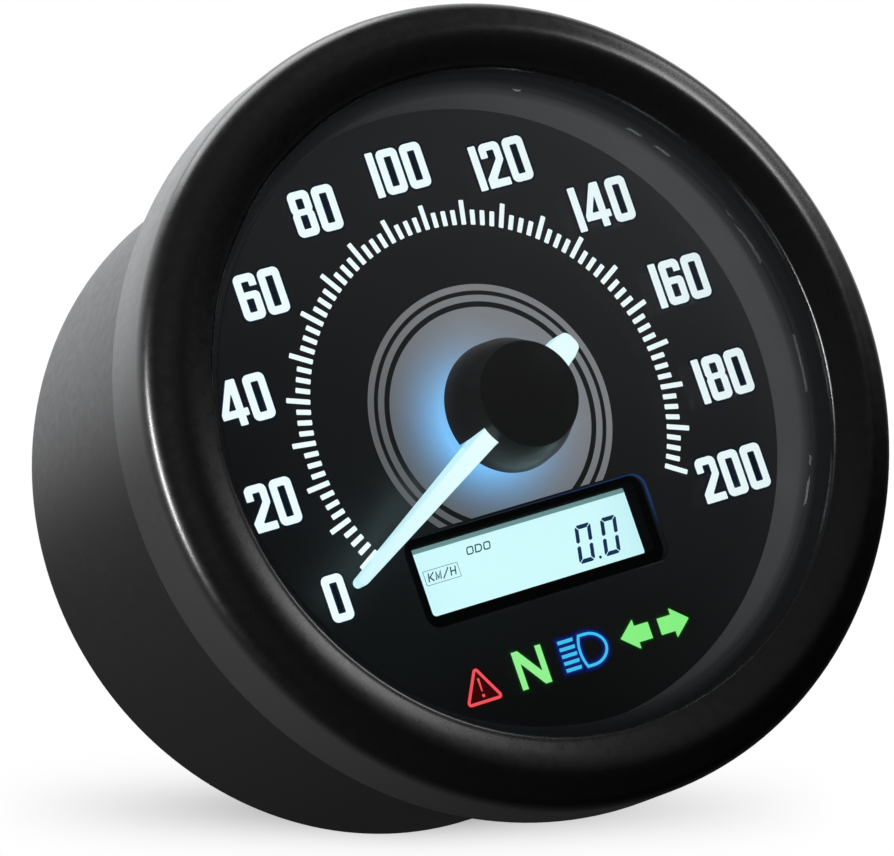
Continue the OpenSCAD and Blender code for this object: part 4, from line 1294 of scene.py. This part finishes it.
def build_sky():
    """White behind the gauge with its soft ground shadow, and a dim studio for everything else."""
    sky = Sky()
    right, up, back = camera_axes()
    ahead = sky.maths("MAXIMUM", sky.along(-back), 0.001)
    u = sky.maths("DIVIDE", sky.along(right), ahead)
    v = sky.maths("DIVIDE", sky.along(up), ahead)
    wide = sky.maths("DIVIDE", sky.maths("SUBTRACT", u, SHADOW_AT[0]), SHADOW_SIZE[0])
    reach = sky.maths("SUBTRACT", 1.0, sky.maths("ABSOLUTE", wide), clamp=True)
    tall = sky.maths("DIVIDE", sky.maths("SUBTRACT", v, SHADOW_AT[1]), SHADOW_SIZE[1])
    fall = sky.maths("POWER", 2.718, sky.maths("MULTIPLY", sky.maths("MULTIPLY", tall, tall), -1.0))
    front = sky.maths("GREATER_THAN", sky.along(-back), 0.5)
    dark = sky.maths("MULTIPLY", sky.maths("MULTIPLY", sky.maths("POWER", reach, 1.25), fall), front)
    white = sky.blend(sky.maths("MULTIPLY", dark, 0.78), (1.0, 1.0, 1.0), (0.0, 0.0, 0.0))
    behind = sky.span(sky.along((0, 1, 0)), -0.25, 0.7, 0.035, 1.0, smooth=True)
    above = sky.span(sky.along((0.2, 0, 0.98)), 0.08, 0.42, 0.03, 1.0, smooth=True)
    studio = sky.maths("MULTIPLY", sky.maths("MULTIPLY", behind, above), 1.3)
    ahead_of = sky.span(sky.along((0, -1, 0)), 0.1, 0.5, 0.0, 0.035, smooth=True)
    level = sky.span(sky.along((0, 0, 1)), -0.25, 0.12, 0.1, 1.0)
    fill = sky.maths("ADD", studio, sky.maths("MULTIPLY", ahead_of, level))
    camera_ray = sky.add("ShaderNodeLightPath").outputs["Is Camera Ray"]
    seen = sky.add("ShaderNodeBackground", {"Color": white, "Strength": 1.0})
    unseen = sky.add("ShaderNodeBackground", {"Color": rgb((0.96, 0.98, 1.0)), "Strength": fill})
    mix = sky.add("ShaderNodeMixShader", {0: camera_ray, 1: unseen.outputs[0], 2: seen.outputs[0]})
    sky.tree.links.new(mix.outputs[0], sky.out.inputs["Surface"])


def add_light(name, place, size, power, target=Vector((0, -0.02, 0))):
    """A soft rectangular light, by its place and size in metres."""
    data = bpy.data.lights.new(name, "AREA")
    data.shape = "RECTANGLE"
    data.size, data.size_y = size
    data.energy = power
    light = bpy.data.objects.new(name, data)
    bpy.context.scene.collection.objects.link(light)
    light.location = place
    light.rotation_euler = (Vector(place) - target).to_track_quat("Z", "Y").to_euler()
    light.visible_camera = False


def build_lights():
    add_light("side_strip", (-0.70, -0.28, 0.15), (0.04, 0.40), 6.5)
    add_light("top_soft", (0.05, 0.15, 0.8), (0.7, 0.5), 5.0)
    add_light("right_soft", (0.70, -0.35, 0.32), (0.26, 0.28), 1.6)


def build_floor():
    """A pale floor under the gauge, which shows only from above."""
    p = Paint("floor_paper")
    fibre = p.noise(1.5, 4)
    pale = p.blend(fibre, (0.80, 0.80, 0.80), (0.84, 0.84, 0.84))
    paper = p.add("ShaderNodeBsdfDiffuse", {"Color": pale})
    clear = p.add("ShaderNodeBsdfTransparent")
    under = p.add("ShaderNodeNewGeometry").outputs["Backfacing"]
    mix = p.add("ShaderNodeMixShader", {0: under, 1: paper.outputs[0], 2: clear.outputs[0]})
    p.tree.links.new(mix.outputs[0], p.out.inputs["Surface"])
    reach = 4.0
    level = cad_box[0].z - 0.5 * MM
    mesh = bmesh.new()
    corners = [(-reach, -reach), (reach, -reach), (reach, reach), (-reach, reach)]
    mesh.faces.new([mesh.verts.new((x, y, level)) for x, y in corners])
    data = bpy.data.meshes.new("floor")
    mesh.to_mesh(data)
    mesh.free()
    floor = bpy.data.objects.new("floor", data)
    bpy.context.scene.collection.objects.link(floor)
    data.materials.append(p.material)
    floor.visible_diffuse = False
    floor.visible_glossy = False


# ---------------------------------------------------------------- the whole gauge

add_camera()
dress_cad_nodes()
build_bezel()
build_case()
build_trim()
build_lens()
build_dial_print()
build_telltales()
build_display()
build_needle()
build_cap()
build_cover()
build_screws()
build_studs()
build_grommet()
build_vent()
build_button()
build_sky()
build_lights()
build_floor()
bpy.context.scene.view_settings.view_transform = "Standard"
